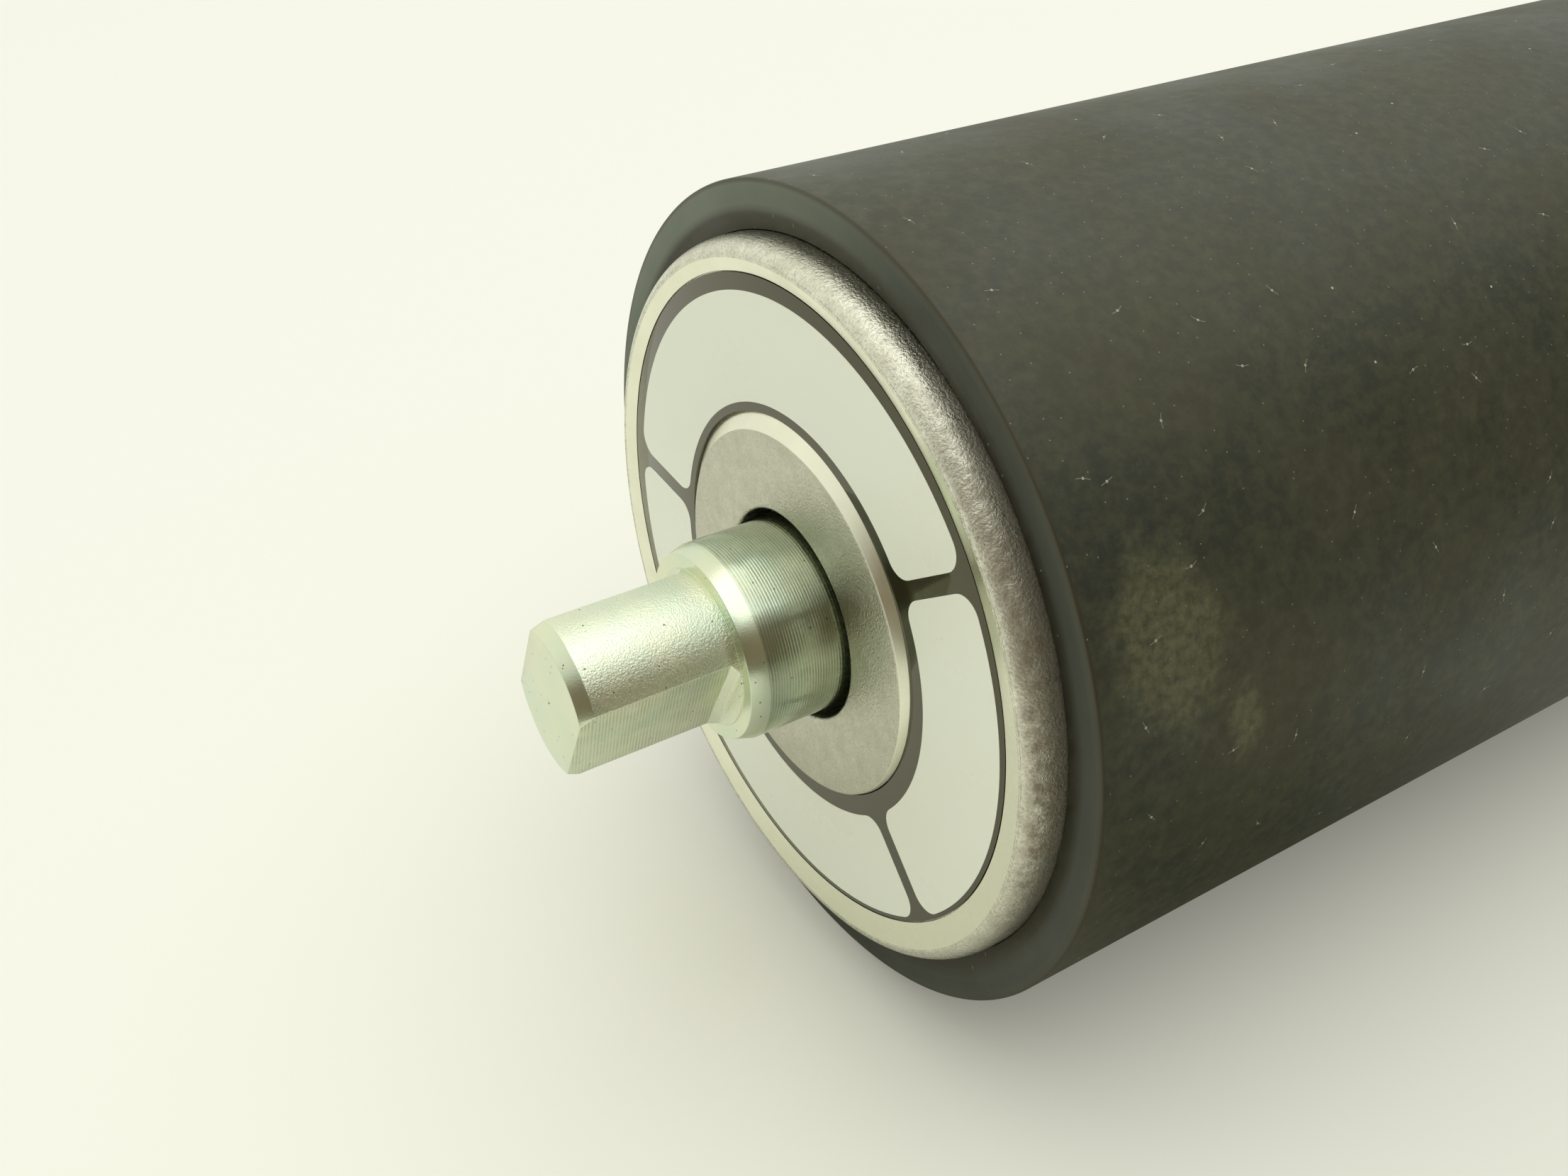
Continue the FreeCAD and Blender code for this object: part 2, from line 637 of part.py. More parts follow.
def make_output():
    """Output carrier with its shaft, and the keyed hub that is pressed in the tube."""
    plate_end = f"{PLATE_2} - Size.carrier_thickness"
    carrier = new_body("OutputCarrier")
    carrier_plate(carrier, PLATE_2)
    turn_outline(carrier, [
        (HUB_END, "0"), (plate_end, "0"), (plate_end, OUTPUT_R), (HUB_END, OUTPUT_R)], "Shaft")
    key_start = f"{HUB_END} + (Size.hub_length - Size.key_length) / 2"
    half_key = "Size.key_width / 2"
    seat = sketch_on(carrier, "YZ_Plane", "KeySeatOutline", key_start)
    draw_outline(seat, ring_corners(f"-{half_key}", half_key, KEY_SEAT, OUTPUT_R))
    cut_checked(carrier, seat, "Size.key_length", "KeySeat", True)
    keep(carrier, "output_carrier")

    key = doc.addObject("Part::Box", "Key")
    key.setExpression("Length", "Size.key_length")
    key.setExpression("Width", "Size.key_width")
    key.setExpression("Height", "Size.key_height")
    key.setExpression("Placement.Base.x", key_start)
    key.setExpression("Placement.Base.y", f"-{half_key}")
    key.setExpression("Placement.Base.z", KEY_SEAT)
    keep(key, "drive_key")

    hub = turned_body("DriveHub", ring_corners(HUB_END, HUB_START, OUTPUT_R, TUBE_BORE_R))
    way = sketch_on(hub, "YZ_Plane", "KeywayOutline", HUB_END)
    key_top = f"{KEY_SEAT} + Size.key_height"
    draw_outline(way, ring_corners(f"-{half_key}", half_key, "0", key_top))
    cut_checked(hub, way, "Size.hub_length", "Keyway", True)
    keep(hub, "drive_hub")


def check_and_write():
    """Stop at any failed object or bad shape, then write one file for each piece."""
    doc.removeObject(gauge.Name)
    doc.recompute()
    for item in doc.Objects:
        if {"Invalid", "Error"} & set(item.State):
            raise RuntimeError(f"{item.Name} failed: {item.State}")
    os.makedirs("parts", exist_ok=True)
    for piece in pieces:
        if piece.Shape.isNull() or not piece.Shape.isValid() or piece.Shape.Volume <= 0:
            raise RuntimeError(f"{piece.Label} has no valid solid")
        piece.Shape.exportStep(f"parts/{piece.Label}.step")
        print(piece.Label, len(piece.Shape.Solids), "solid(s)", round(piece.Shape.Volume, 1), "mm3")


make_shell()
make_end_caps()
make_name_ring()
make_bearing_rings()
make_idle_shaft()
make_cable_shaft()
make_motor_housing()
make_stator()
make_rotor()
make_pinion()
make_planets(1, PLANETS_1)
make_first_carrier()
make_planets(2, PLANETS_2)
make_gear_case()
make_output()
check_and_write()
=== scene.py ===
# %% [markdown]
# # A motorized conveyor roller
#
# The object is a roller for a conveyor: a steel tube with a black rubber sleeve, a die-cast cap in each
# end and a stub of shaft standing out of each cap. A gearmotor is shut inside the tube. The solids come
# from the CAD model, which stays where it is. This file gives what can be seen its finer shape, its
# finish, a floor, light and a camera.

# %% Load the CAD frame
import json
import math

import bmesh
import bpy
from mathutils import Matrix, Vector


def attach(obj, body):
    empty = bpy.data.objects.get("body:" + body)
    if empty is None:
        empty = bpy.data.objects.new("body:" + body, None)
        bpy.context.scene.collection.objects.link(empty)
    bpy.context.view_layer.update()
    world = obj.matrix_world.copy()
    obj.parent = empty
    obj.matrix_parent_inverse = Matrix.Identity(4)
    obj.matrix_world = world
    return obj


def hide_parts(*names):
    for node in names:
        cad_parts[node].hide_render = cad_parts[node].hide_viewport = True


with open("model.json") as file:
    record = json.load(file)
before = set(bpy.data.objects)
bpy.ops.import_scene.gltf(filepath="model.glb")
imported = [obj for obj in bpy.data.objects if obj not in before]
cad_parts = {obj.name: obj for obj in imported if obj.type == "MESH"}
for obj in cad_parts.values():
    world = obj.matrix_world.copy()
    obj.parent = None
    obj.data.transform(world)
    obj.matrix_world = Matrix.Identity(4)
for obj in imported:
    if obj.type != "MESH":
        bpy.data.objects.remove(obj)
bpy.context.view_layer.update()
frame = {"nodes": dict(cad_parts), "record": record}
MM = 0.001
print("CAD nodes:", len(frame["nodes"]))

# %% [markdown]
# ## The camera
#
# The picture was taken from close by, looking down on the idle end, so the perspective is strong. The
# camera could be turned by eye until the roller fits, but three directions say it exactly: where it
# looks, which way is right and which way is up. They become the columns of its matrix.

# %% Place the camera
LENS_MM = 34.21
SENSOR_MM = 36.0
NEAR_CLIP = 1.0
NAME_RING_FACE = -364.4
CAMERA_FROM_RING = Vector((-47.74, -76.12, 65.52))
LOOK_RIGHT = Vector((0.8497, -0.5272, -0.0055)).normalized()
LOOK_AHEAD = Vector((0.4282, 0.6963, -0.576)).normalized()

camera_data = bpy.data.cameras.new("camera")
camera_data.lens = LENS_MM
camera_data.sensor_width = SENSOR_MM
camera_data.clip_start = NEAR_CLIP * MM
camera = bpy.data.objects.new("camera", camera_data)
bpy.context.scene.collection.objects.link(camera)
look_up = LOOK_RIGHT.cross(LOOK_AHEAD)
turned = Matrix((LOOK_RIGHT, look_up, -LOOK_AHEAD)).transposed().to_4x4()
eye = (Vector((NAME_RING_FACE, 0, 0)) + CAMERA_FROM_RING) * MM
camera.matrix_world = Matrix.Translation(eye) @ turned
bpy.context.scene.camera = camera
print("camera at", [round(v / MM, 1) for v in eye], "mm")

# %% [markdown]
# ## A lathe made of extrudes
#
# Almost every piece here was turned on a lathe or drawn as a tube. Blender's Spin could sweep an outline
# round the axis. Here a circle is extruded along the axis again and again, and each new ring is scaled to
# the radius that it needs. That is how one would do it by hand, and it leaves clean quads.

# %% Helpers for selecting
RING_TOLERANCE = 0.003 * MM


def start_piece(name, x, radius, segments):
    """A circle round the roller's axis, with nothing else selected."""
    bpy.ops.object.select_all(action="DESELECT")
    bpy.ops.mesh.primitive_circle_add(
        vertices=segments, radius=radius * MM, location=(x * MM, 0, 0), rotation=(0, math.pi / 2, 0))
    piece = bpy.context.active_object
    piece.name = name
    piece.data.name = name
    bpy.ops.object.transform_apply(location=True, rotation=True, scale=True)
    return piece


def select_edges(piece, wanted):
    """Select the edges for which wanted(edge) is true, in edit mode."""
    bpy.context.tool_settings.mesh_select_mode = (False, True, False)
    bpy.ops.mesh.select_all(action="DESELECT")
    mesh = bmesh.from_edit_mesh(piece.data)
    for edge in mesh.edges:
        if wanted(edge):
            edge.select_set(True)
    bmesh.update_edit_mesh(piece.data)


def on_ring(edge, x, radius):
    """Whether both ends of an edge lie on the ring at x with this radius, in mm."""
    return all(
        abs(v.co.x - x * MM) < RING_TOLERANCE and abs(v.co.yz.length - radius * MM) < RING_TOLERANCE
        for v in edge.verts)


print("rings are found within", RING_TOLERANCE / MM, "mm")

# %% The lathe
MERGE_DISTANCE = RING_TOLERANCE / 10
POINT_R = 0.06  # an outline's end that is nearer to the axis than this is merged to a point
SMOOTH_ANGLE = math.radians(28)


def turn(name, outline, segments, rounds=()):
    """Extrude a circle along an outline of (x, radius) in mm. A closed outline ends where it starts.

    rounds lists the corners to bevel: ((x, radius), width, steps).
    """
    piece = start_piece(name, *outline[0], segments)
    bpy.ops.object.mode_set(mode="EDIT")
    bpy.ops.mesh.select_all(action="SELECT")
    for (x0, r0), (x1, r1) in zip(outline, outline[1:]):
        bpy.ops.mesh.extrude_region_move(TRANSFORM_OT_translate={"value": ((x1 - x0) * MM, 0, 0)})
        bpy.ops.transform.resize(value=(1, r1 / r0, r1 / r0), center_override=(x1 * MM, 0, 0))
    for x, radius in (outline[0], outline[-1]):
        if radius < POINT_R:
            select_edges(piece, lambda edge: on_ring(edge, x, radius))
            bpy.ops.mesh.merge(type="CENTER")
    bpy.ops.mesh.select_all(action="SELECT")
    bpy.ops.mesh.remove_doubles(threshold=MERGE_DISTANCE)
    bpy.ops.mesh.normals_make_consistent(inside=False)
    for corner, width, steps in rounds:
        select_edges(piece, lambda edge: on_ring(edge, *corner))
        bpy.ops.mesh.bevel(offset=width * MM, segments=steps, profile=0.5, affect="EDGES")
    bpy.ops.object.mode_set(mode="OBJECT")
    bpy.ops.object.shade_smooth_by_angle(angle=SMOOTH_ANGLE)
    print(name, len(piece.data.polygons), "faces")
    return piece


def shift_edges(piece, wanted, shift):
    """Move some edges of a turned piece off its axis, by a shift in mm."""
    bpy.ops.object.mode_set(mode="EDIT")
    select_edges(piece, wanted)
    bpy.ops.transform.translate(value=[step * MM for step in shift])
    bpy.ops.object.mode_set(mode="OBJECT")
    print(piece.name, "has edges shifted by", shift, "mm")


print("edges sharper than", round(math.degrees(SMOOTH_ANGLE)), "degrees stay sharp")

# %% [markdown]
# ## The rubber sleeve
#
# The sleeve is a ground rubber tube, 3 mm thick, that ends a little before the caps do. It was cut off
# square, so its outer edge is crisp. Past the end of the steel tube its bore closes in on the cap's rim, with
# a shallow slope and a hair's breadth of gap. A bevelled cylinder would do, but the gap needs the true wall,
# so it is turned as a closed outline.

# %% Turn the rubber sleeve
TUBE_R = 28.5
SLEEVE_R = 31.5
SLEEVE_END = 362.6
LIP_START = 360.2
LIP_R = 27.92
LIP_EDGE = 362.1
SLOPE_R = 29.4
CUT_ROUND = 0.16
SLOPE_ROUND = 0.4
SLEEVE_SEGMENTS = 256
SLEEVE_ROUND_STEPS = 4

half_outline = [
    (LIP_START, TUBE_R), (LIP_START, LIP_R), (LIP_EDGE, LIP_R), (SLEEVE_END, SLOPE_R), (SLEEVE_END, SLEEVE_R)]
other_half = [(-x, r) for x, r in reversed(half_outline)]
sleeve_rounds = [
    ((side * SLEEVE_END, r), width, SLEEVE_ROUND_STEPS)
    for side in (1, -1) for r, width in ((SLEEVE_R, CUT_ROUND), (SLOPE_R, SLOPE_ROUND))]
sleeve = turn("rubber_sleeve", half_outline + other_half + half_outline[:1], SLEEVE_SEGMENTS, sleeve_rounds)
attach(sleeve, "roller")
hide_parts("rubber_cover")

# %% [markdown]
# ## The end caps
#
# Each cap is a die casting with a rounded rim, a shallow recess for the name ring, a hub that stands
# level with the rim and a bore round the shaft. A bright turned band slopes up from the recess to the
# rim's crest. Both ends have the same cap, so its outline is written once, for the side that faces +X,
# and turned twice. The rim is an oval arc in many steps, because it catches the light. On the idle cap
# the recess sits a little off the centre, so its rings are nudged afterwards.

# %% Outline of a cap
HUB_FACE = 365.0
CREST = 364.9
RECESS_FLOOR = 364.1
TUBE_END = 360.0
SPIGOT_END = 345.0
BORE_R = 8.2
HUB_R = 14.2
RING_INNER_R = 15.0
RECESS_R = 25.1
CREST_R = 26.6
RIM_R = 27.85
RIM_DEPTH = 2.0
RIM_STEPS = 14
TUBE_BORE_R = 26.5
BEARING_R = 17.5


def oval(step):
    """A point on the rim, from its crest to its side."""
    angle = math.pi / 2 * step / RIM_STEPS
    return CREST - RIM_DEPTH * (1 - math.cos(angle)), CREST_R + (RIM_R - CREST_R) * math.sin(angle)


RECESS_RINGS = [(RECESS_FLOOR, RING_INNER_R), (RECESS_FLOOR, RECESS_R), (-NAME_RING_FACE, RECESS_R)]
CAP_OUTLINE = [
    (HUB_FACE, BORE_R), (HUB_FACE, HUB_R), *RECESS_RINGS, *[oval(step) for step in range(RIM_STEPS + 1)],
    (TUBE_END, RIM_R), (TUBE_END, TUBE_BORE_R), (SPIGOT_END, TUBE_BORE_R), (SPIGOT_END, BEARING_R),
    (TUBE_END, BEARING_R), (TUBE_END, BORE_R), (HUB_FACE, BORE_R)]
CAP_ROUNDS = [((CREST, CREST_R), 0.2, 3), ((HUB_FACE, BORE_R), 0.3, 4), ((HUB_FACE, HUB_R), 0.12, 3)]
print("cap outline:", len(CAP_OUTLINE), "points,", len(CAP_ROUNDS), "rounded corners")

# %% Turn the end caps
CAP_SEGMENTS = 384
RECESS_SHIFT = (0.0, 0.35, 0.35)


def turn_cap(name, side):
    """A cap at one end: side is 1 for the cable end and -1 for the idle end."""
    outline = [(side * x, r) for x, r in CAP_OUTLINE]
    rounds = [((side * x, r), width, steps) for (x, r), width, steps in CAP_ROUNDS]
    cap = turn(name, outline, CAP_SEGMENTS, rounds)
    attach(cap, "roller")
    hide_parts("end_caps")
    return cap


cable_cap = turn_cap("cable_cap_casting", 1)
idle_cap = turn_cap("idle_cap_casting", -1)
shift_edges(idle_cap, lambda edge: any(on_ring(edge, -x, r) for x, r in RECESS_RINGS), RECESS_SHIFT)

# %% [markdown]
# ## The name ring and its panels
#
# A printed ring lies in the recess of the idle cap: glossy black, with four pale panels that have rounded
# corners. The ring goes off the centre with its recess. The panels are centred on the shaft, so the black
# border is wider on one side. They could be a mask in the ring's material. As flat curves made into thin
# plates they stay sharp at any distance, so each panel's outline is worked out as arcs and straight ends.

# %% Turn the name ring
RING_FLOOR = -RECESS_FLOOR
RING_OUTER_R = 25.0
RING_ROUND = 0.04
RING_ROUND_STEPS = 2
RING_SEGMENTS = 256

ring_outline = [
    (RING_FLOOR, RING_INNER_R), (NAME_RING_FACE, RING_INNER_R), (NAME_RING_FACE, RING_OUTER_R),
    (RING_FLOOR, RING_OUTER_R), (RING_FLOOR, RING_INNER_R)]
ring_rounds = [((NAME_RING_FACE, RING_OUTER_R), RING_ROUND, RING_ROUND_STEPS)]
name_ring = turn("printed_ring", ring_outline, RING_SEGMENTS, ring_rounds)
shift_edges(name_ring, lambda edge: True, RECESS_SHIFT)
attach(name_ring, "roller")
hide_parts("name_ring")

# %% Outline of a panel
PANEL_INNER_R = 16.12
PANEL_OUTER_R = 24.18
BAR_HALF = 0.68
PANEL_CORNER = 1.6
BAR_ANGLES = (4.6, 143.6, 224.5, 305.5)
ARC_STEP = math.radians(1.5)
CORNER_STEPS = 8
QUARTER = math.pi / 2


def direction(angle):
    """A step of length 1 at an angle in the ring's plane."""
    return Vector((math.cos(angle), math.sin(angle)))


def bow(centre, radius, first, last, steps):
    """Points on a part of a circle, from the first angle to the last."""
    return [centre + direction(first + (last - first) * k / steps) * radius for k in range(steps + 1)]


def panel_outline(start, end):
    """A sector between two dividing bars, with parallel-sided bars and rounded corners."""
    corners = []
    for bar, into in ((start, 1), (end, -1)):
        for centre_r in (PANEL_INNER_R + PANEL_CORNER, PANEL_OUTER_R - PANEL_CORNER):
            angle = bar + into * math.asin((BAR_HALF + PANEL_CORNER) / centre_r)
            corners.append((direction(angle) * centre_r, angle))
    (start_in, start_in_a), (start_out, start_out_a), (end_in, end_in_a), (end_out, end_out_a) = corners
    axis = Vector((0, 0))
    long_steps = round((end_out_a - start_out_a) / ARC_STEP)
    bows = (
        (axis, PANEL_OUTER_R, start_out_a, end_out_a, long_steps),
        (end_out, PANEL_CORNER, end_out_a, end + QUARTER, CORNER_STEPS),
        (end_in, PANEL_CORNER, end + QUARTER, end_in_a + math.pi, CORNER_STEPS),
        (axis, PANEL_INNER_R, end_in_a, start_in_a, long_steps),
        (start_in, PANEL_CORNER, start_in_a + math.pi, start + 3 * QUARTER, CORNER_STEPS),
        (start_out, PANEL_CORNER, start - QUARTER, start_out_a, CORNER_STEPS))
    return [point for each in bows for point in bow(*each)]


print("bars between the panels at", BAR_ANGLES, "degrees")

# %% Make the four panels
PANEL_THICKNESS = 0.02
FULL_TURN = 360


def make_panel(name, start, end):
    """A flat curve in the ring's plane, made into a thin plate on the ring's face."""
    curve = bpy.data.curves.new(name, "CURVE")
    curve.dimensions = "2D"
    curve.fill_mode = "BOTH"
    curve.extrude = PANEL_THICKNESS / 2 * MM
    points = panel_outline(start, end)
    spline = curve.splines.new("POLY")
    spline.points.add(len(points) - 1)
    for point, place in zip(spline.points, points):
        point.co = (place.x * MM, place.y * MM, 0, 1)
    spline.use_cyclic_u = True
    panel = bpy.data.objects.new(name, curve)
    bpy.context.scene.collection.objects.link(panel)
    bpy.ops.object.select_all(action="DESELECT")
    panel.select_set(True)
    bpy.context.view_layer.objects.active = panel
    bpy.ops.object.convert(target="MESH")
    face_x = (NAME_RING_FACE - PANEL_THICKNESS / 2) * MM
    panel.matrix_world = Matrix(((0, 0, 1, face_x), (1, 0, 0, 0), (0, 1, 0, 0), (0, 0, 0, 1)))
    bpy.ops.object.transform_apply(location=True, rotation=True, scale=True)
    bpy.ops.object.mode_set(mode="EDIT")
    bpy.ops.mesh.select_all(action="SELECT")
    bpy.ops.mesh.remove_doubles(threshold=MERGE_DISTANCE)
    bpy.ops.mesh.normals_make_consistent(inside=False)
    bpy.ops.object.mode_set(mode="OBJECT")
    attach(panel, "roller")
    return panel


panels = []
for number, start in enumerate(BAR_ANGLES):
    end = BAR_ANGLES[(number + 1) % len(BAR_ANGLES)]
    end += FULL_TURN if end < start else 0
    panels.append(make_panel(f"ring_panel_{number + 1}", math.radians(start), math.radians(end)))
print("panels:", [len(panel.data.polygons) for panel in panels], "faces")

# %% [markdown]
# ## The shafts
#
# Each shaft is zinc-plated steel: a thick part that runs into the bearing, a shoulder with a bright
# chamfer, and a thinner end with two milled flats that sit in a slot of the conveyor's frame. The cutter
# left a short ramp where each flat stops. The shaft is turned, and two boxes with one chamfered edge cut
# the flats from it with a Boolean, as the mill did. A Bevel then wears all its edges by a hair.

# %% Helpers for the flats
SHOULDER = 372.4
TIP = 384.4
FLAT_HALF = 4.0
FLAT_END = SHOULDER + 0.1
RAMP = 0.55
CUTTER_WIDTH = 24.0
CUTTER_HEIGHT = 8.0
CUTTER_SPARE = 4.0


def make_cutter(side, turn_angle):
    """A box that takes one flat off a shaft end, with a chamfer that leaves the ramp."""
    length = TIP - FLAT_END + CUTTER_SPARE
    bpy.ops.object.select_all(action="DESELECT")
    bpy.ops.mesh.primitive_cube_add(size=1)
    cutter = bpy.context.active_object
    cutter.scale = (length * MM, CUTTER_HEIGHT * MM, CUTTER_WIDTH * MM)
    cutter.location = (side * (FLAT_END + length / 2) * MM, (FLAT_HALF + CUTTER_HEIGHT / 2) * MM, 0)
    bpy.ops.object.transform_apply(location=True, rotation=True, scale=True)
    bpy.ops.object.mode_set(mode="EDIT")
    inner = Vector((side * FLAT_END * MM, FLAT_HALF * MM))
    select_edges(cutter, lambda edge: all((v.co.xy - inner).length < RING_TOLERANCE for v in edge.verts))
    bpy.ops.mesh.bevel(offset=RAMP * MM, segments=1, affect="EDGES")
    bpy.ops.object.mode_set(mode="OBJECT")
    cutter.rotation_euler = (turn_angle, 0, 0)
    bpy.ops.object.transform_apply(location=False, rotation=True, scale=False)
    return cutter


def apply_modifier(piece, kind, **settings):
    """Add one modifier with its settings and apply it."""
    modifier = piece.modifiers.new(kind.lower(), kind)
    for key, value in settings.items():
        setattr(modifier, key, value)
    bpy.ops.object.select_all(action="DESELECT")
    piece.select_set(True)
    bpy.context.view_layer.objects.active = piece
    bpy.ops.object.modifier_apply(modifier=modifier.name)


print("flats", 2 * FLAT_HALF, "mm apart and", round(TIP - FLAT_END, 1), "mm long")

# %% Turn the shafts
SHAFT_R = 7.5
END_R = 6.0
SHOULDER_CHAMFER = (1.35, 0.42)
TIP_CHAMFER = (1.0, 0.6)
INNER_RING_R = 10.6
EDGE_WEAR = 0.05
WEAR_STEPS = 2
SHAFT_SEGMENTS = 192


def turn_shaft(name, side, core, collar_end, flats_angle):
    """A shaft with its flats. core is the outline of its middle: a dimple, or the bore for the cable."""
    outline = core + [
        (TIP, END_R - TIP_CHAMFER[1]), (TIP - TIP_CHAMFER[0], END_R), (SHOULDER, END_R),
        (SHOULDER, SHAFT_R - SHOULDER_CHAMFER[1]), (SHOULDER - SHOULDER_CHAMFER[0], SHAFT_R),
        (TUBE_END, SHAFT_R), (TUBE_END, INNER_RING_R), (collar_end, INNER_RING_R), (collar_end, core[0][1])]
    outline += core[:1] if core[0][1] > POINT_R else []
    shaft = turn(name, [(side * x, r) for x, r in outline], SHAFT_SEGMENTS)
    for half_turn in (0, math.pi):
        cutter = make_cutter(side, math.radians(flats_angle) + half_turn)
        apply_modifier(shaft, "BOOLEAN", operation="DIFFERENCE", solver="EXACT", object=cutter)
        bpy.data.objects.remove(cutter)
    apply_modifier(
        shaft, "BEVEL", width=EDGE_WEAR * MM, segments=WEAR_STEPS, limit_method="ANGLE",
        angle_limit=SMOOTH_ANGLE)
    bpy.ops.object.shade_smooth_by_angle(angle=SMOOTH_ANGLE)
    print(name, len(shaft.data.polygons), "faces with its flats")
    return shaft


DIMPLE_DEPTH = 0.4
DIMPLE_R = 0.24
DIMPLE_POINT_R = 0.05
IDLE_COLLAR_END = 342.0
IDLE_FLATS = 26.4
idle_core = [(TIP - DIMPLE_DEPTH, DIMPLE_POINT_R), (TIP, DIMPLE_R)]
idle_shaft = turn_shaft("idle_shaft_turned", -1, idle_core, IDLE_COLLAR_END, IDLE_FLATS)
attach(idle_shaft, "idle_axle")
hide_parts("idle_shaft")

CABLE_BORE_R = 3.25
CABLE_COLLAR_END = 336.0
CABLE_FLATS = 0.0
cable_shaft = turn_shaft("cable_shaft_turned", 1, [(TIP, CABLE_BORE_R)], CABLE_COLLAR_END, CABLE_FLATS)
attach(cable_shaft, "fixed_unit")
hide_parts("cable_shaft")

# %% [markdown]
# ## The cable bush
#
# The motor's cable leaves through the hollow shaft of the far end. A plastic bush keeps it off the steel.
# It is a plain moulded ring with a flared mouth, so the lathe makes it too.

# %% Turn the cable bush
BUSH_R = 2.25
BUSH_LENGTH = 8.0
MOUTH_FLARE = 0.5
BUSH_SEGMENTS = 96
bush_outline = [
    (TIP, CABLE_BORE_R), (TIP, BUSH_R + MOUTH_FLARE), (TIP - MOUTH_FLARE, BUSH_R),
    (TIP - BUSH_LENGTH, BUSH_R), (TIP - BUSH_LENGTH, CABLE_BORE_R), (TIP, CABLE_BORE_R)]
bush = turn("cable_bush_moulded", bush_outline, BUSH_SEGMENTS)
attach(bush, "fixed_unit")
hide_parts("cable_bush")

# %% [markdown]
# ## How the materials are made
#
# Every finish is a set of nodes on Blender's Principled shader. Colours are written as the hex values
# that a painter would pick on a screen, and one function turns them into the linear values that the
# shader counts in. Another adds a node, sets it, wires it and gives the output that the next node needs.
# Patterns are sized in millimetres. The nodes could be wired by hand in the Shading tab: the names below
# are those of its Add menu, and the numbers count a node's sockets from the top, hidden ones too.

# %% Names of nodes and sockets
COORDINATES, NOISE, VORONOI, WAVE = (
    "ShaderNodeTexCoord", "ShaderNodeTexNoise", "ShaderNodeTexVoronoi", "ShaderNodeTexWave")
MATH, VECTOR_MATH, MAP_RANGE, MIX = (
    "ShaderNodeMath", "ShaderNodeVectorMath", "ShaderNodeMapRange", "ShaderNodeMix")
SEPARATE, COMBINE, SEPARATE_COLOUR = (
    "ShaderNodeSeparateXYZ", "ShaderNodeCombineXYZ", "ShaderNodeSeparateColor")
MAPPING, ROTATE, BUMP, LIGHT_PATH = (
    "ShaderNodeMapping", "ShaderNodeVectorRotate", "ShaderNodeBump", "ShaderNodeLightPath")
BACKGROUND, EMISSION, MIX_SHADER = (
    "ShaderNodeBackground", "ShaderNodeEmission", "ShaderNodeMixShader")
VALUE, LOW, HIGH, TO_LOW, TO_HIGH = range(5)
FACTOR, COLOUR_A, COLOUR_B, MIXED = 0, 6, 7, 2
RGBA = {"data_type": "RGBA", "out": MIXED}
ALL = None
print("sockets of a Map Range:", (VALUE, LOW, HIGH, TO_LOW, TO_HIGH))

# %% Helpers for materials
def colour(hex_value):
    """A hex colour as linear red, green, blue and alpha."""
    parts = [int(hex_value[k:k + 2], 16) / 255 for k in (1, 3, 5)]
    return [c / 12.92 if c <= 0.04045 else ((c + 0.055) / 1.055) ** 2.4 for c in parts] + [1.0]


def per_mm(size):
    """Texture scale that makes a pattern's cells about this many millimetres."""
    return 1 / (size * MM)


def add(owner, kind, sockets=None, out=0, **properties):
    """Add a node and give its output. Each socket gets a value, or a wire from another node's output."""
    node = owner.node_tree.nodes.new(kind)
    for key, value in properties.items():
        setattr(node, key, value)
    for key, value in (sockets or {}).items():
        if isinstance(value, bpy.types.NodeSocket):
            owner.node_tree.links.new(value, node.inputs[key])
        else:
            node.inputs[key].default_value = value
    return node.outputs if out is ALL else node.outputs[out]


def new_material(name, **sockets):
    """A material on the Principled shader, with the sockets that are the same all over."""
    material = bpy.data.materials.new(name)
    material.use_nodes = True
    for key, value in sockets.items():
        material.node_tree.nodes["Principled BSDF"].inputs[key.replace("_", " ")].default_value = value
    return material


def feed_shader(material, **outputs):
    """Wire what varies over the surface to the Principled shader."""
    shader = material.node_tree.nodes["Principled BSDF"]
    for key, output in outputs.items():
        material.node_tree.links.new(output, shader.inputs[key.replace("_", " ")])
    print(material.name, len(material.node_tree.nodes), "nodes")


print("middle grey on a screen is", round(colour("#808080")[0], 3), "in linear light")

# %% [markdown]
# ## Ground rubber
#
# The sleeve is nitrile rubber, ground on a cylinder grinder. It is charcoal with a touch of olive, almost
# matte, cloudy where it was handled, and it drifts slowly to a bluer black. All of that could be painted,
# but noise in space has no seam. Marks that lie on the surface need it flat, so the angle round the axis
# times the radius gives the second coordinate of the unrolled sleeve.

# %% Colour of the rubber
CLOUD_MM = 14
DRIFT_MM = 38
MOTTLE_MM = 1.1

# Ground rubber gives the eye a soft, broad sheen on a dark ground, never a sharp highlight.
rubber = new_material("ground_nitrile_rubber", IOR=1.52, Specular_Tint=colour("#f3f2d8"))
place = add(rubber, COORDINATES, out="Object")
axes = add(rubber, SEPARATE, {0: place}, ALL)
angle = add(rubber, MATH, {0: axes["Y"], 1: axes["Z"]}, operation="ARCTAN2")
arc = add(rubber, MATH, {0: angle, 1: SLEEVE_R * MM}, operation="MULTIPLY")
unrolled = add(rubber, COMBINE, {0: axes["X"], 1: arc})

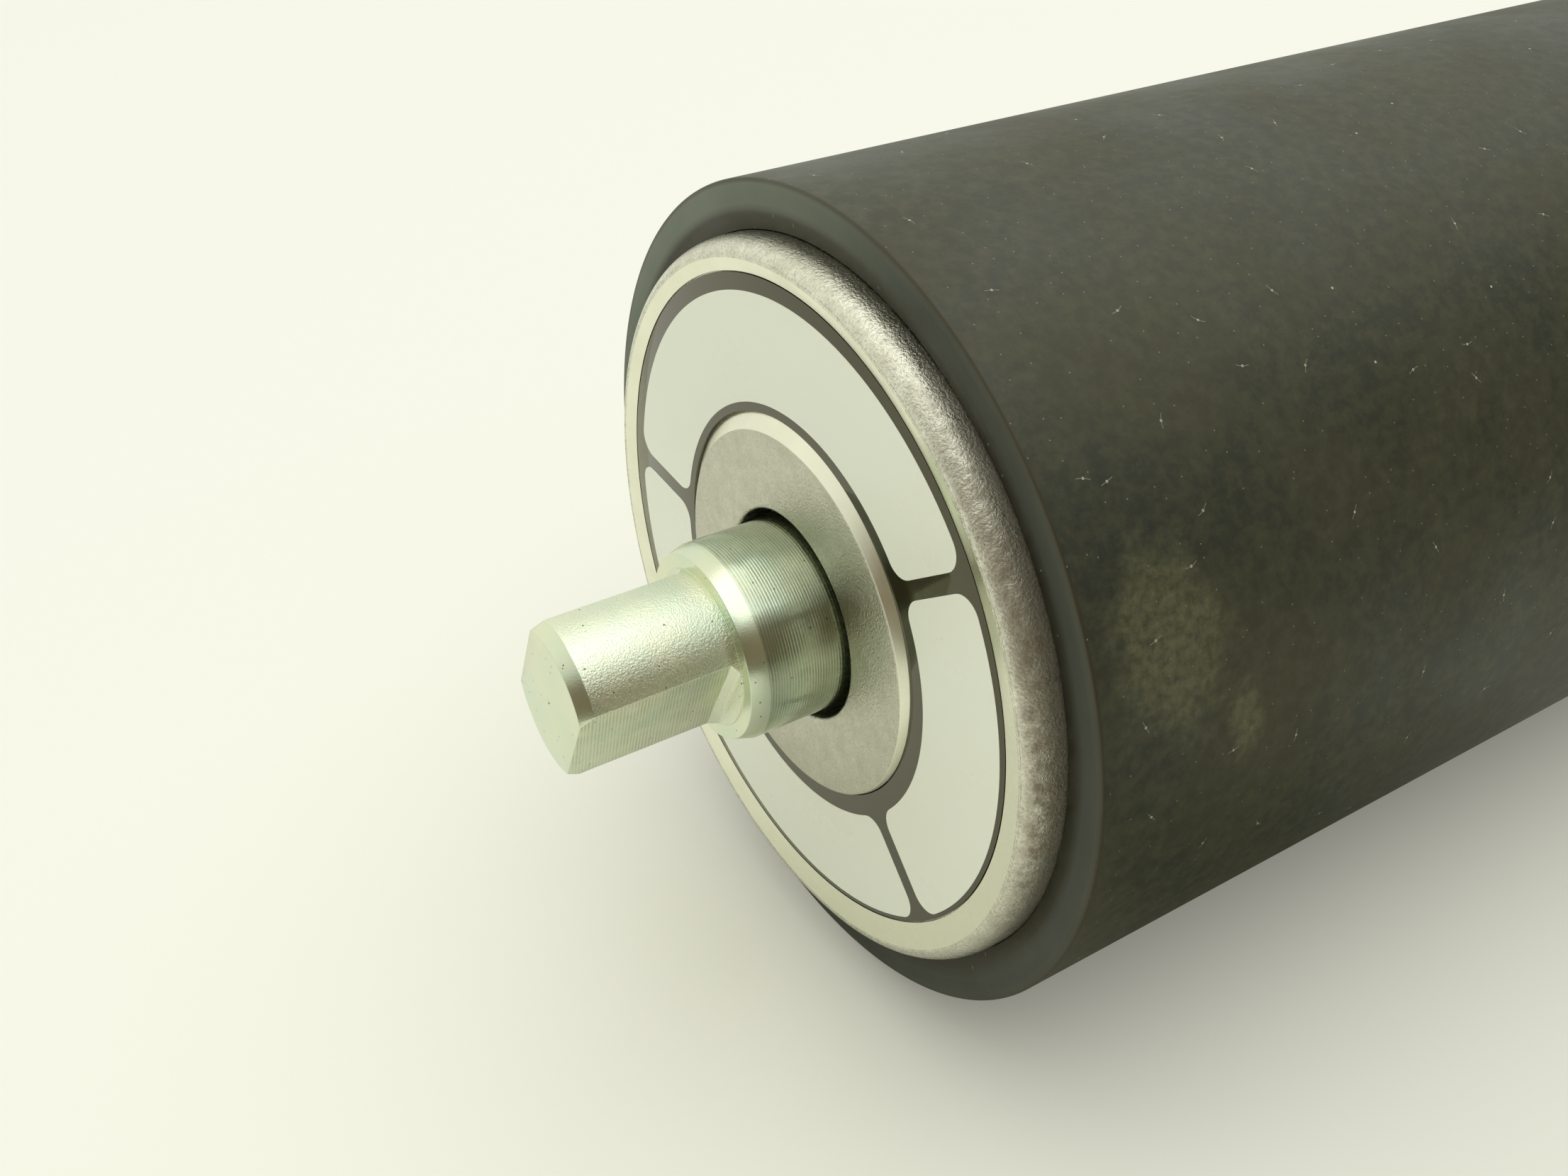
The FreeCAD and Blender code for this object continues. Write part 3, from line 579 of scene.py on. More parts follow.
cloud = add(rubber, NOISE, {"Vector": place, "Scale": per_mm(CLOUD_MM), "Detail": 6.0, "Roughness": 0.6})
cloudy = add(rubber, MAP_RANGE, {VALUE: cloud, LOW: 0.38, HIGH: 0.64})
tone = add(rubber, MIX, {FACTOR: cloudy, COLOUR_A: colour("#2a2f28"), COLOUR_B: colour("#3b3a2b")}, **RGBA)
drift = add(rubber, NOISE, {"Vector": place, "Scale": per_mm(DRIFT_MM), "Detail": 3.0})
drifting = add(rubber, MAP_RANGE, {VALUE: drift, LOW: 0.45, HIGH: 0.65, TO_HIGH: 0.55})
mottle = add(rubber, NOISE, {"Vector": place, "Scale": per_mm(MOTTLE_MM), "Detail": 5.0, "Roughness": 0.7})
mottled = add(rubber, MAP_RANGE, {VALUE: mottle, LOW: 0.4, HIGH: 0.72, TO_HIGH: 0.7})
for amount, hue in ((drifting, "#2a3033"), (mottled, "#4b4c3a")):
    tone = add(rubber, MIX, {FACTOR: amount, COLOUR_A: tone, COLOUR_B: colour(hue)}, **RGBA)
print("rubber clouds of", CLOUD_MM, "mm and mottle of", MOTTLE_MM, "mm")

# %% [markdown]
# ### A chalky smear
#
# Near the idle end the rubber has a chalky smear where it rubbed against something pale. It could be a
# painted mask. Here it is two ovals on the unrolled surface, with edges made ragged by noise and a crust
# broken by finer noise, so it stays in place when the roller turns.

# %% Smears on the rubber
SMEARS = ((-356.4, -36.6, 4.6, 6.4), (-350.8, -43.8, 1.5, 3.0))  # x, arc, half length, half width in mm
RAGGED_MM = 3
CRUST_MM = 0.7
RAGGED_REACH = 2.2

ragged = add(rubber, NOISE, {"Vector": unrolled, "Scale": per_mm(RAGGED_MM), "Detail": 8.0, "Roughness": 0.7})
crust = add(rubber, NOISE, {"Vector": unrolled, "Scale": per_mm(CRUST_MM), "Detail": 6.0, "Roughness": 0.65})
crusty = add(rubber, MAP_RANGE, {VALUE: crust, LOW: 0.36, HIGH: 0.66, TO_LOW: 0.2})
for x, along, half_x, half_arc in SMEARS:
    middle, size = (x * MM, along * MM, 0), (half_x * MM, half_arc * MM, 1)
    moved = add(
        rubber, MAPPING, {"Vector": unrolled, "Location": middle, "Scale": size}, vector_type="TEXTURE")
    reach = add(rubber, VECTOR_MATH, {0: moved}, "Value", operation="LENGTH")
    uneven = add(rubber, MATH, {0: ragged, 1: RAGGED_REACH, 2: reach}, operation="MULTIPLY_ADD")
    smear = add(rubber, MAP_RANGE, {VALUE: uneven, LOW: 2.3, HIGH: 1.6})
    chalk = add(rubber, MATH, {0: smear, 1: crusty}, operation="MULTIPLY")
    tone = add(rubber, MIX, {FACTOR: chalk, COLOUR_A: tone, COLOUR_B: colour("#62624a")}, **RGBA)
print("smears:", len(SMEARS))

# %% [markdown]
# ### The cut end
#
# The knife left a greyer face with faint rings, paler toward its outer edge. Its upper part is painted
# lighter, as painted light from the bright table that it mirrors, the outer edge is scorched brown, and the
# slope beside the cap is darker. Separate pieces could carry these tones, but they run into each other, so
# the distance along the axis and the distance from it place them.

# %% Tones of the cut end
RING_MARK_MM = 0.35
RING_MARK_TURNS = 4.0
UPPER_SIDE = (0, 0.7, 0.714)


def between(low, high):
    """The two ends of a Map Range, from millimetres."""
    return {LOW: low * MM, HIGH: high * MM}


far = add(rubber, MATH, {0: axes["X"]}, operation="ABSOLUTE")
at_end = add(rubber, MAP_RANGE, {VALUE: far, **between(SLEEVE_END - 0.12, SLEEVE_END - 0.04)})
section = add(rubber, COMBINE, {0: axes["Y"], 1: axes["Z"]})
radius = add(rubber, VECTOR_MATH, {0: section}, "Value", operation="LENGTH")
worn = add(rubber, MAP_RANGE, {VALUE: radius, **between(SLEEVE_R - 0.9, SLEEVE_R - 0.2)})
face = add(rubber, MIX, {FACTOR: worn, COLOUR_A: colour("#2e332e"), COLOUR_B: colour("#383d36")}, **RGBA)
ring_place = add(rubber, COMBINE, {0: radius, 1: angle})
ring_marks = (per_mm(RING_MARK_MM), RING_MARK_TURNS, 1.0)
ring_scale = add(rubber, MAPPING, {"Vector": ring_place, "Scale": ring_marks})
streaks = add(rubber, NOISE, {"Vector": ring_scale, "Scale": 1.0, "Detail": 3.0})
streaky = add(rubber, MAP_RANGE, {VALUE: streaks, LOW: 0.45, HIGH: 0.75, TO_HIGH: 0.6})
# The upper part of the cut end is painted lighter: painted light from the bright table that the face mirrors.
upward = add(rubber, VECTOR_MATH, {0: place, 1: UPPER_SIDE}, "Value", operation="DOT_PRODUCT")
painted_upper_light = add(rubber, MAP_RANGE, {VALUE: upward, **between(12, 29), TO_HIGH: 0.5})
for amount, hue in ((streaky, "#272b28"), (painted_upper_light, "#7c887a")):
    face = add(rubber, MIX, {FACTOR: amount, COLOUR_A: face, COLOUR_B: colour(hue)}, **RGBA)
tone = add(rubber, MIX, {FACTOR: at_end, COLOUR_A: tone, COLOUR_B: face}, **RGBA)
corner = add(rubber, MAP_RANGE, {VALUE: radius, **between(SLEEVE_R - 0.4, SLEEVE_R - 0.15)})
last = add(rubber, MAP_RANGE, {VALUE: far, **between(SLEEVE_END - 0.35, SLEEVE_END - 0.1), TO_HIGH: 0.7})
scorch = add(rubber, MATH, {0: corner, 1: last}, operation="MULTIPLY")
# The slope beside the cap is darker.
darker_slope = add(rubber, MAP_RANGE, {VALUE: radius, **between(SLOPE_R + 0.35, SLOPE_R - 0.5), TO_HIGH: 0.85})
for amount, hue in ((scorch, "#332c1e"), (darker_slope, "#1f1d16")):
    tone = add(rubber, MIX, {FACTOR: amount, COLOUR_A: tone, COLOUR_B: colour(hue)}, **RGBA)
print("cut end of the rubber:", len(rubber.node_tree.nodes), "nodes so far")

# %% [markdown]
# ### Dust and lint
#
# Rubber holds dust: pale specks of two sizes and short bent fibres. Particles could do that with
# thousands of pieces. A Voronoi texture on the unrolled surface gives each cell one point, and so one
# speck or one fibre, and a random colour that decides whether it is there and how it lies. Real dust and
# lint are finer than a pixel of the render, so both are drawn coarser than they are, just enough to show.

# %% Specks of dust
# The size of a cell in mm, a speck's reach in cells, the share of empty cells and the colour.
SPECKS = ((2.0, 0.024, 0.45, "#7f7e6d"), (6.5, 0.014, 0.45, "#b4b4a0"))

on_side = add(rubber, MATH, {0: 1.0, 1: at_end}, operation="SUBTRACT")
for cell, reach, empty, hue in SPECKS:
    cells = add(rubber, VORONOI, {"Vector": unrolled, "Scale": per_mm(cell)}, ALL, voronoi_dimensions="2D")
    near = add(rubber, MATH, {0: cells["Distance"], 1: reach}, operation="LESS_THAN")
    chance = add(rubber, SEPARATE_COLOUR, {0: cells["Color"]})
    some = add(rubber, MATH, {0: chance, 1: empty}, operation="GREATER_THAN")
    kept = add(rubber, MATH, {0: on_side, 1: some}, operation="MULTIPLY")
    speck = add(rubber, MATH, {0: near, 1: kept}, operation="MULTIPLY")
    tone = add(rubber, MIX, {FACTOR: speck, COLOUR_A: tone, COLOUR_B: colour(hue)}, **RGBA)
print("sizes of dust:", len(SPECKS))

# %% Lint: one short bent fibre in some of the cells
LINT_CELL = 6.5
LINT_HALF_LENGTH = 0.5
LINT_HALF_WIDTH = 0.02
LINT_BEND = 500.0
LINT_EMPTY = 0.55  # share of cells with no fibre

hairs = add(
    rubber, VORONOI, {"Vector": unrolled, "Scale": per_mm(LINT_CELL)}, ALL, voronoi_dimensions="2D")
chance = add(rubber, SEPARATE_COLOUR, {0: hairs["Color"]}, ALL)
offset = add(rubber, VECTOR_MATH, {0: unrolled, 1: hairs["Position"]}, operation="SUBTRACT")
spin = add(rubber, MATH, {0: chance[1], 1: 2 * math.pi}, operation="MULTIPLY")
laid = add(rubber, ROTATE, {"Vector": offset, "Angle": spin}, rotation_type="Z_AXIS")
lint = add(rubber, SEPARATE, {0: laid}, ALL)
squared = add(rubber, MATH, {0: lint[0], 1: lint[0]}, operation="MULTIPLY")
bend = add(rubber, MAP_RANGE, {VALUE: chance[2], TO_LOW: -LINT_BEND, TO_HIGH: LINT_BEND})
bow_out = add(rubber, MATH, {0: squared, 1: bend}, operation="MULTIPLY")
line = add(rubber, MATH, {0: lint[1], 1: bow_out, 2: LINT_HALF_WIDTH * MM}, operation="COMPARE")
ends = add(rubber, MATH, {0: lint[0], 1: 0.0, 2: LINT_HALF_LENGTH * MM}, operation="COMPARE")
some = add(rubber, MATH, {0: chance[0], 1: LINT_EMPTY}, operation="GREATER_THAN")
fibre = add(rubber, MATH, {0: line, 1: ends}, operation="MULTIPLY")
fibres = add(rubber, MATH, {0: fibre, 1: some}, operation="MULTIPLY")
tone = add(rubber, MIX, {FACTOR: fibres, COLOUR_A: tone, COLOUR_B: colour("#86867a")}, **RGBA)
print("fibres", 2 * LINT_HALF_LENGTH, "mm long")

# %% Grain and gloss of the rubber
RUBBER_GRAIN_MM = 0.3  # the grinder's grit is finer, and is drawn this coarse so that it shows
RUBBER_GRAIN_DEPTH = 0.03

grain = add(rubber, NOISE, {"Vector": place, "Scale": per_mm(RUBBER_GRAIN_MM), "Detail": 4.0})
bump = add(rubber, BUMP, {"Strength": 0.4, "Distance": RUBBER_GRAIN_DEPTH * MM, "Height": grain})
rough = add(rubber, MAP_RANGE, {VALUE: cloudy, TO_LOW: 0.44, TO_HIGH: 0.58})
feed_shader(rubber, Base_Color=tone, Roughness=rough, Normal=bump)
sleeve.data.materials.append(rubber)

# %% [markdown]
# ## Cast and turned aluminium
#
# The caps were die-cast and tumbled with stones, which leaves a silvery, sparkling grain and darker stains.
# The hub is painted darker, as painted shade for the shaded table that it mirrors, and one side of the rim is
# darker too: partly soiling, partly painted shade on the side toward the camera. The band beside the name
# ring and the hub's bevel were turned afterwards: smooth, brighter and marked with fine circles. A mask could
# blend the two, but the edge between them is sharp, so the cap gets two materials and the turned faces are
# picked by their place.

# %% Cast aluminium
STAIN_MM = 1.6
CAST_GRAIN_MM = 0.2  # about the size of the tumbling marks, drawn no finer so that they show
GRAIN_DEPTH = 0.07
CAST_LUMP_MM = 0.8
LUMP_DEPTH = 0.06
BLOTCH_MM = 0.9
# The side of the rim that is soiled and also painted with shade.
SOILED_SHADED_SIDE = (0, -0.966, 0.259)

# A tumbled casting gives the eye many small glints on a soft silver.
cast = new_material("tumbled_cast_aluminium")
place = add(cast, COORDINATES, out="Object")
stain = add(cast, NOISE, {"Vector": place, "Scale": per_mm(STAIN_MM), "Detail": 6.0, "Roughness": 0.65})
stained = add(cast, MAP_RANGE, {VALUE: stain, LOW: 0.35, HIGH: 0.68})
tone = add(cast, MIX, {FACTOR: stained, COLOUR_A: colour("#e6e5d6"), COLOUR_B: colour("#cfcdbc")}, **RGBA)
grain = add(cast, NOISE, {"Vector": place, "Scale": per_mm(CAST_GRAIN_MM), "Detail": 3.0, "Roughness": 0.65})
grainy = add(cast, MAP_RANGE, {VALUE: grain, LOW: 0.48, HIGH: 0.72, TO_HIGH: 0.5})
axes = add(cast, SEPARATE, {0: place}, ALL)
section = add(cast, COMBINE, {0: axes["Y"], 1: axes["Z"]})
radius = add(cast, VECTOR_MATH, {0: section}, "Value", operation="LENGTH")
# The hub is painted darker: painted shade for the shaded table that its face mirrors.
shaded_hub = add(cast, MAP_RANGE, {VALUE: radius, **between(RING_INNER_R, HUB_R), TO_HIGH: 0.55})
# One side of the rim is darker and less metallic: partly soiling, partly painted shade on the side toward the
# camera, which mirrors the dark room.
on_rim = add(cast, MAP_RANGE, {VALUE: radius, **between(CREST_R + 0.15, RIM_R - 0.3)})
toward_soiled_side = add(cast, VECTOR_MATH, {0: place, 1: SOILED_SHADED_SIDE}, "Value", operation="DOT_PRODUCT")
near_side = add(cast, MAP_RANGE, {VALUE: toward_soiled_side, **between(17, 26)})
soiled_shaded_rim = add(cast, MATH, {0: on_rim, 1: near_side}, operation="MULTIPLY")
blotch = add(cast, NOISE, {"Vector": place, "Scale": per_mm(BLOTCH_MM), "Detail": 7.0, "Roughness": 0.7})
blotchy = add(cast, MAP_RANGE, {VALUE: blotch, LOW: 0.36, HIGH: 0.6, TO_LOW: 0.15, TO_HIGH: 0.9})
soiling_and_shade = add(cast, MATH, {0: soiled_shaded_rim, 1: blotchy}, operation="MULTIPLY")
for amount, hue in ((grainy, "#8f8d7e"), (shaded_hub, "#a8a796"), (soiling_and_shade, "#847a69")):
    tone = add(cast, MIX, {FACTOR: amount, COLOUR_A: tone, COLOUR_B: colour(hue)}, **RGBA)

lumps = add(cast, NOISE, {"Vector": place, "Scale": per_mm(CAST_LUMP_MM), "Detail": 3.0})
fine_bump = add(cast, BUMP, {"Strength": 1.0, "Distance": GRAIN_DEPTH * MM, "Height": grain})
bump = add(cast, BUMP, {"Strength": 0.5, "Distance": LUMP_DEPTH * MM, "Height": lumps, "Normal": fine_bump})
gloss = add(cast, MAP_RANGE, {VALUE: lumps, LOW: 0.3, HIGH: 0.7, TO_LOW: 0.22, TO_HIGH: 0.32})
rough = add(cast, MATH, {0: soiling_and_shade, 1: 0.25, 2: gloss}, operation="MULTIPLY_ADD")
bare = add(cast, MAP_RANGE, {VALUE: soiling_and_shade, TO_LOW: 1.0, TO_HIGH: 0.4})
feed_shader(cast, Base_Color=tone, Metallic=bare, Roughness=rough, Normal=bump)

# %% Turned aluminium
FEED_MM = 0.16  # the tool's feed, drawn about twice as coarse as it was so that it shows
FEED_DEPTH = 0.02
WEAR_MM = 3

# Turned aluminium gives the eye a bright band whose highlight is drawn out across its fine circles.
turned_metal = new_material("turned_aluminium", Metallic=1.0)
place = add(turned_metal, COORDINATES, out="Object")
axes = add(turned_metal, SEPARATE, {0: place}, ALL)
section = add(turned_metal, COMBINE, {0: axes["Y"], 1: axes["Z"]})
radius = add(turned_metal, VECTOR_MATH, {0: section}, "Value", operation="LENGTH")
circles = add(turned_metal, COMBINE, {0: radius})
lines = add(turned_metal, NOISE, {"Vector": circles, "Scale": per_mm(FEED_MM), "Detail": 2.0})
bump = add(turned_metal, BUMP, {"Strength": 0.2, "Distance": FEED_DEPTH * MM, "Height": lines})
wear = add(turned_metal, NOISE, {"Vector": place, "Scale": per_mm(WEAR_MM), "Detail": 3.0})
rough = add(turned_metal, MAP_RANGE, {VALUE: wear, LOW: 0.3, HIGH: 0.7, TO_LOW: 0.2, TO_HIGH: 0.34})
bright = add(turned_metal, MIX, {
    FACTOR: wear, COLOUR_A: colour("#eeeedb"), COLOUR_B: colour("#e1e2ce")}, **RGBA)
feed_shader(turned_metal, Base_Color=bright, Roughness=rough, Normal=bump)

# %% Put both on the caps
FLOOR_ROOM = 0.1  # faces this far below the recess's floor still count as the cap's front
SHIFT_ROOM = 0.6  # the shifted recess reaches this far inside or outside its circles
HUB_BEVEL_START = HUB_R + 0.05


def give_faces(piece, material, wanted):
    """Give a second material to the faces for which wanted(centre, normal) is true."""
    piece.data.materials.append(material)
    index = len(piece.data.materials) - 1
    count = 0
    for face in piece.data.polygons:
        if wanted(face.center / MM, face.normal):
            face.material_index = index
            count += 1
    print(piece.name, count, "faces of", material.name)


def is_turned(centre, normal):
    """Whether a cap's face is on the band beside the name ring or on the hub's bevel."""
    radius = centre.yz.length
    on_band = RECESS_R - SHIFT_ROOM < radius < CREST_R
    on_bevel = HUB_BEVEL_START < radius < RING_INNER_R + SHIFT_ROOM
    return abs(centre.x) > RECESS_FLOOR - FLOOR_ROOM and (on_band or on_bevel)


for cap in (idle_cap, cable_cap):
    cap.data.materials.append(cast)
    give_faces(cap, turned_metal, is_turned)

# %% [markdown]
# ## The print
#
# The name ring is a plastic film with glossy black ink, and its panels are bare film, a cool white. Both
# are smooth, so their look is mostly gloss. They could be one flat colour each, but faint dust and
# rubbing keep them from looking like new enamel, so the tone and the gloss wander a little.

# %% Print materials
FILM_PATCH_MM = 6


def print_film(name, dark, pale, ior, glint, gloss, dull):
    """Smooth film: a slightly uneven colour and a gloss that wanders."""
    film = new_material(name, IOR=ior, Specular_Tint=colour(glint))
    place = add(film, COORDINATES, out="Object")
    uneven = add(film, NOISE, {"Vector": place, "Scale": per_mm(FILM_PATCH_MM), "Detail": 4.0})
    tone = add(film, MIX, {FACTOR: uneven, COLOUR_A: colour(dark), COLOUR_B: colour(pale)}, **RGBA)
    rough = add(film, MAP_RANGE, {VALUE: uneven, LOW: 0.3, HIGH: 0.7, TO_LOW: gloss, TO_HIGH: dull})
    feed_shader(film, Base_Color=tone, Roughness=rough)
    return film


# Ink gives the eye a deep brown-black with clear reflections.
# Its carbon black lifts the index above that of varnish.
black_ink = print_film(
    "glossy_black_ink", dark="#17150d", pale="#1f1d14", ior=1.85, glint="#f3efcb", gloss=0.05, dull=0.09)
# Bare film gives the eye an even, cool white with a soft gloss.
bare_film = print_film(
    "bare_white_film", dark="#ebefe3", pale="#eff3e8", ior=1.5, glint="#ffffff", gloss=0.26, dull=0.32)
name_ring.data.materials.append(black_ink)
for panel in panels:
    panel.data.materials.append(bare_film)

# %% [markdown]
# ## Zinc-plated steel
#
# The shafts have a thin clear-passivated zinc coat: silver with a green and yellow cast. It shows how the
# steel under it was cut. The thin end is satin and grainy, the shoulder and the tip were faced smooth,
# the thick part has the lathe's feed lines, and the flats have the mill's slanting strokes. A few dark
# pits are everywhere. Each could be a material of its own, but they differ only in tone, marks and gloss,
# so one function makes all four. Zinc's grain and pits are finer than a pixel of the render, and are
# drawn as coarse as they need to show.

# %% Zinc materials
WAVE_PERIOD = 0.314  # a Wave texture of scale 1 repeats after this many units
COAT_MM = 4
LINE_PATCH_MM = 1.5
FAINT = 0.4  # how much of the tool lines is left where they are weakest
LINE_DEPTH = 0.012
ZINC_GRAIN_MM = 0.15
PIT_CELL_MM = 0.9
PIT_REACH = 0.075


def zinc_finish(name, dark, pale, pitch, length, slant, lines, shade, grain_depth, gloss, dull):
    """Plated steel. Tool lines have a pitch and a length in mm, a slant about Y, a depth and a shade."""
    zinc = new_material(name, Metallic=1.0)
    place = add(zinc, COORDINATES, out="Object")
    film = add(zinc, NOISE, {"Vector": place, "Scale": per_mm(COAT_MM), "Detail": 3.0})
    tint = add(zinc, MAP_RANGE, {VALUE: film, LOW: 0.35, HIGH: 0.65})
    tone = add(zinc, MIX, {FACTOR: tint, COLOUR_A: colour(dark), COLOUR_B: colour(pale)}, **RGBA)
    slanted = add(zinc, ROTATE, {"Vector": place, "Angle": slant}, rotation_type="Y_AXIS")
    stroke = (per_mm(pitch), per_mm(length), per_mm(length))
    stretch = add(zinc, MAPPING, {"Vector": slanted, "Scale": stroke})
    feed = add(zinc, WAVE, {"Vector": stretch, "Scale": WAVE_PERIOD, "Distortion": 2.5, "Detail": 2.0}, "Fac")
    strength = add(zinc, NOISE, {"Vector": place, "Scale": per_mm(LINE_PATCH_MM), "Detail": 3.0})
    patchy = add(zinc, MAP_RANGE, {
        VALUE: strength, LOW: 0.35, HIGH: 0.65, TO_LOW: FAINT * lines, TO_HIGH: lines})
    groove = add(zinc, MATH, {0: feed, 1: patchy}, operation="MULTIPLY")
    shaded = add(zinc, MATH, {0: groove, 1: shade}, operation="MULTIPLY")
    cells = add(zinc, VORONOI, {"Vector": place, "Scale": per_mm(PIT_CELL_MM)}, "Distance")
    pits = add(zinc, MATH, {0: cells, 1: PIT_REACH}, operation="LESS_THAN")
    for amount, hue in ((shaded, "#8b917c"), (pits, "#6c6d58")):
        tone = add(zinc, MIX, {FACTOR: amount, COLOUR_A: tone, COLOUR_B: colour(hue)}, **RGBA)
    line_bump = add(zinc, BUMP, {"Strength": 0.5, "Distance": LINE_DEPTH * MM, "Height": groove})
    grain = add(zinc, NOISE, {
        "Vector": place, "Scale": per_mm(ZINC_GRAIN_MM), "Detail": 3.0, "Roughness": 0.65})
    bump = add(zinc, BUMP, {
        "Strength": 0.6, "Distance": grain_depth * MM, "Height": grain, "Normal": line_bump})
    rough = add(zinc, MAP_RANGE, {VALUE: film, LOW: 0.35, HIGH: 0.65, TO_LOW: gloss, TO_HIGH: dull})
    feed_shader(zinc, Base_Color=tone, Roughness=rough, Normal=bump)
    return zinc


# Satin: a soft highlight that breaks up into grain.
satin_zinc = zinc_finish(
    "satin_zinc_plated_steel", dark="#dae5d0", pale="#e6e9d0", pitch=0.2, length=12, slant=0.0,
    lines=0.15, shade=0.45, grain_depth=0.085, gloss=0.2, dull=0.28)
# Faced: a smooth pale end and bright chamfers.
faced_zinc = zinc_finish(
    "faced_zinc_plated_steel", dark="#d0ddc6", pale="#dfe3c8", pitch=0.12, length=12, slant=0.0,
    lines=0.1, shade=0.45, grain_depth=0.012, gloss=0.2, dull=0.27)
# Turned: darker, with a fine thread of feed lines across the highlight.
turned_zinc = zinc_finish(
    "turned_zinc_plated_steel", dark="#b7c5b2", pale="#c3cab0", pitch=0.23, length=12, slant=0.0,
    lines=1.0, shade=0.8, grain_depth=0.01, gloss=0.16, dull=0.24)
# Milled: flat and pale, with strokes that lean.
milled_zinc = zinc_finish(
    "milled_zinc_plated_steel", dark="#d6e2c8", pale="#e3e8cb", pitch=0.26, length=9, slant=0.11,
    lines=1.0, shade=0.5, grain_depth=0.012, gloss=0.24, dull=0.34)

# %% Put the zinc on the shafts
JUST_PAST = 0.01
FLAT_FACING = 0.999

for shaft, flats in ((idle_shaft, IDLE_FLATS), (cable_shaft, CABLE_FLATS)):
    across = Vector((0, math.cos(math.radians(flats)), math.sin(math.radians(flats))))
    shaft.data.materials.append(satin_zinc)
    give_faces(
        shaft, faced_zinc,
        lambda centre, normal: not SHOULDER + JUST_PAST < abs(centre.x) < TIP - TIP_CHAMFER[0])
    give_faces(shaft, turned_zinc, lambda centre, normal: abs(centre.x) < SHOULDER - SHOULDER_CHAMFER[0])
    give_faces(
        shaft, milled_zinc,
        lambda centre, normal: abs(normal.dot(across)) > FLAT_FACING and abs(centre.x) > SHOULDER)

# %% [markdown]
# ## Finishes of what is inside
#
# The motor, the gears and the bearings are shut inside the tube, so their plain solids stay. They could
# stay grey, but someone who opens the model will see them, so each gets the finish of the real piece from
# two tones, a range of gloss and marks that run the way the piece was drawn, stacked, wound or cut.

# %% Materials of the inner pieces
MARK_DEPTH = 0.03


def plain_finish(name, dark, pale, metallic, gloss, dull, stroke):
    """A finish from two tones, a roughness range and the size of its marks in mm along each axis."""
    material = new_material(name, Metallic=metallic)
    place = add(material, COORDINATES, out="Object")
    stretch = add(material, MAPPING, {"Vector": place, "Scale": tuple(per_mm(s) for s in stroke)})
    marks = add(material, NOISE, {"Vector": stretch, "Scale": 1.0, "Detail": 3.0})
    tone = add(material, MIX, {FACTOR: marks, COLOUR_A: colour(dark), COLOUR_B: colour(pale)}, **RGBA)
    rough = add(material, MAP_RANGE, {VALUE: marks, LOW: 0.3, HIGH: 0.7, TO_LOW: gloss, TO_HIGH: dull})
    bump = add(material, BUMP, {"Strength": 0.15, "Distance": MARK_DEPTH * MM, "Height": marks})
    feed_shader(material, Base_Color=tone, Roughness=rough, Normal=bump)
    return material


FINISHES = {
    # Long silky lines along the tube.
    "tube_steel": plain_finish("drawn_steel", "#8b8c8c", "#a5a6a5", 1.0, 0.3, 0.42, (20, 0.4, 0.4)),
    # Clear reflections on a bright ring.
    "bearing_steel": plain_finish("ground_bearing_steel", "#b4b6b8", "#c9cbcc", 1.0, 0.12, 0.2, (0.3, 3, 3)),
    # A dark stack of thin sheets, each an edge of its own.
    "lamination": plain_finish("stacked_laminations", "#55555a", "#747479", 1.0, 0.4, 0.55, (0.5, 30, 30)),
    # Warm strands under a thin varnish.
    "copper": plain_finish("enamelled_copper_wire", "#8a4522", "#b4652f", 0.8, 0.25, 0.4, (6, 0.6, 0.6)),
    # Grey tooth flanks with a dull shine.
    "gear_steel": plain_finish("hardened_gear_steel", "#77787a", "#8f9091", 1.0, 0.28, 0.4, (0.4, 2, 2)),
    # Black with the fine spark-eroded grain of its mould.
    "black_plastic": plain_finish(
        "moulded_black_nylon", "#141413", "#20201f", 0.0, 0.42, 0.58, (0.6, 0.6, 0.6)),
    "cast_aluminium": cast,
    "zinc_steel": satin_zinc,
    "rubber": rubber,
    "name_ring": black_ink,
}
bush.data.materials.append(FINISHES["black_plastic"])
for part in frame["record"]["subparts"]:
    node = frame["nodes"][part["node"]]
    node.data.materials.clear()
    node.data.materials.append(FINISHES[part["material_slot"]])
print("finishes:", len(FINISHES))

# %% [markdown]
# ## Floor and light
#
# The roller lies on a plain pale table under one large soft lamp. The sky is brighter on the far side,
# and behind the camera a brown room shows below the edge of the light, so that the metal has something to
# reflect. Together they light a white surface to about white and no more. In the metal's reflections the
# table is darker beside the idle end and toward the camera. Where the table is seen or mirrored, it also
# glows a little, more so away from the roller, and it fades into the backdrop. A curved studio sheet
# could do that, but its bend would show in the shaft. That glow reaches no ray that lights the object, so
# the shadow stays.

# %% The table and its shaded places
FLOOR_GAP = 0.01
TABLE_SIZE = 40
# Where each shade sets in: the axis, the start and the end in mm.
SHADES = (("X", -385, -345), ("X", -280, -325), ("Y", 20, -35), ("Y", -130, -300))

bpy.ops.object.select_all(action="DESELECT")
bpy.ops.mesh.primitive_plane_add(size=TABLE_SIZE, location=(0, 0, -(SLEEVE_R + FLOOR_GAP) * MM))
floor = bpy.context.active_object
floor.name = "floor"
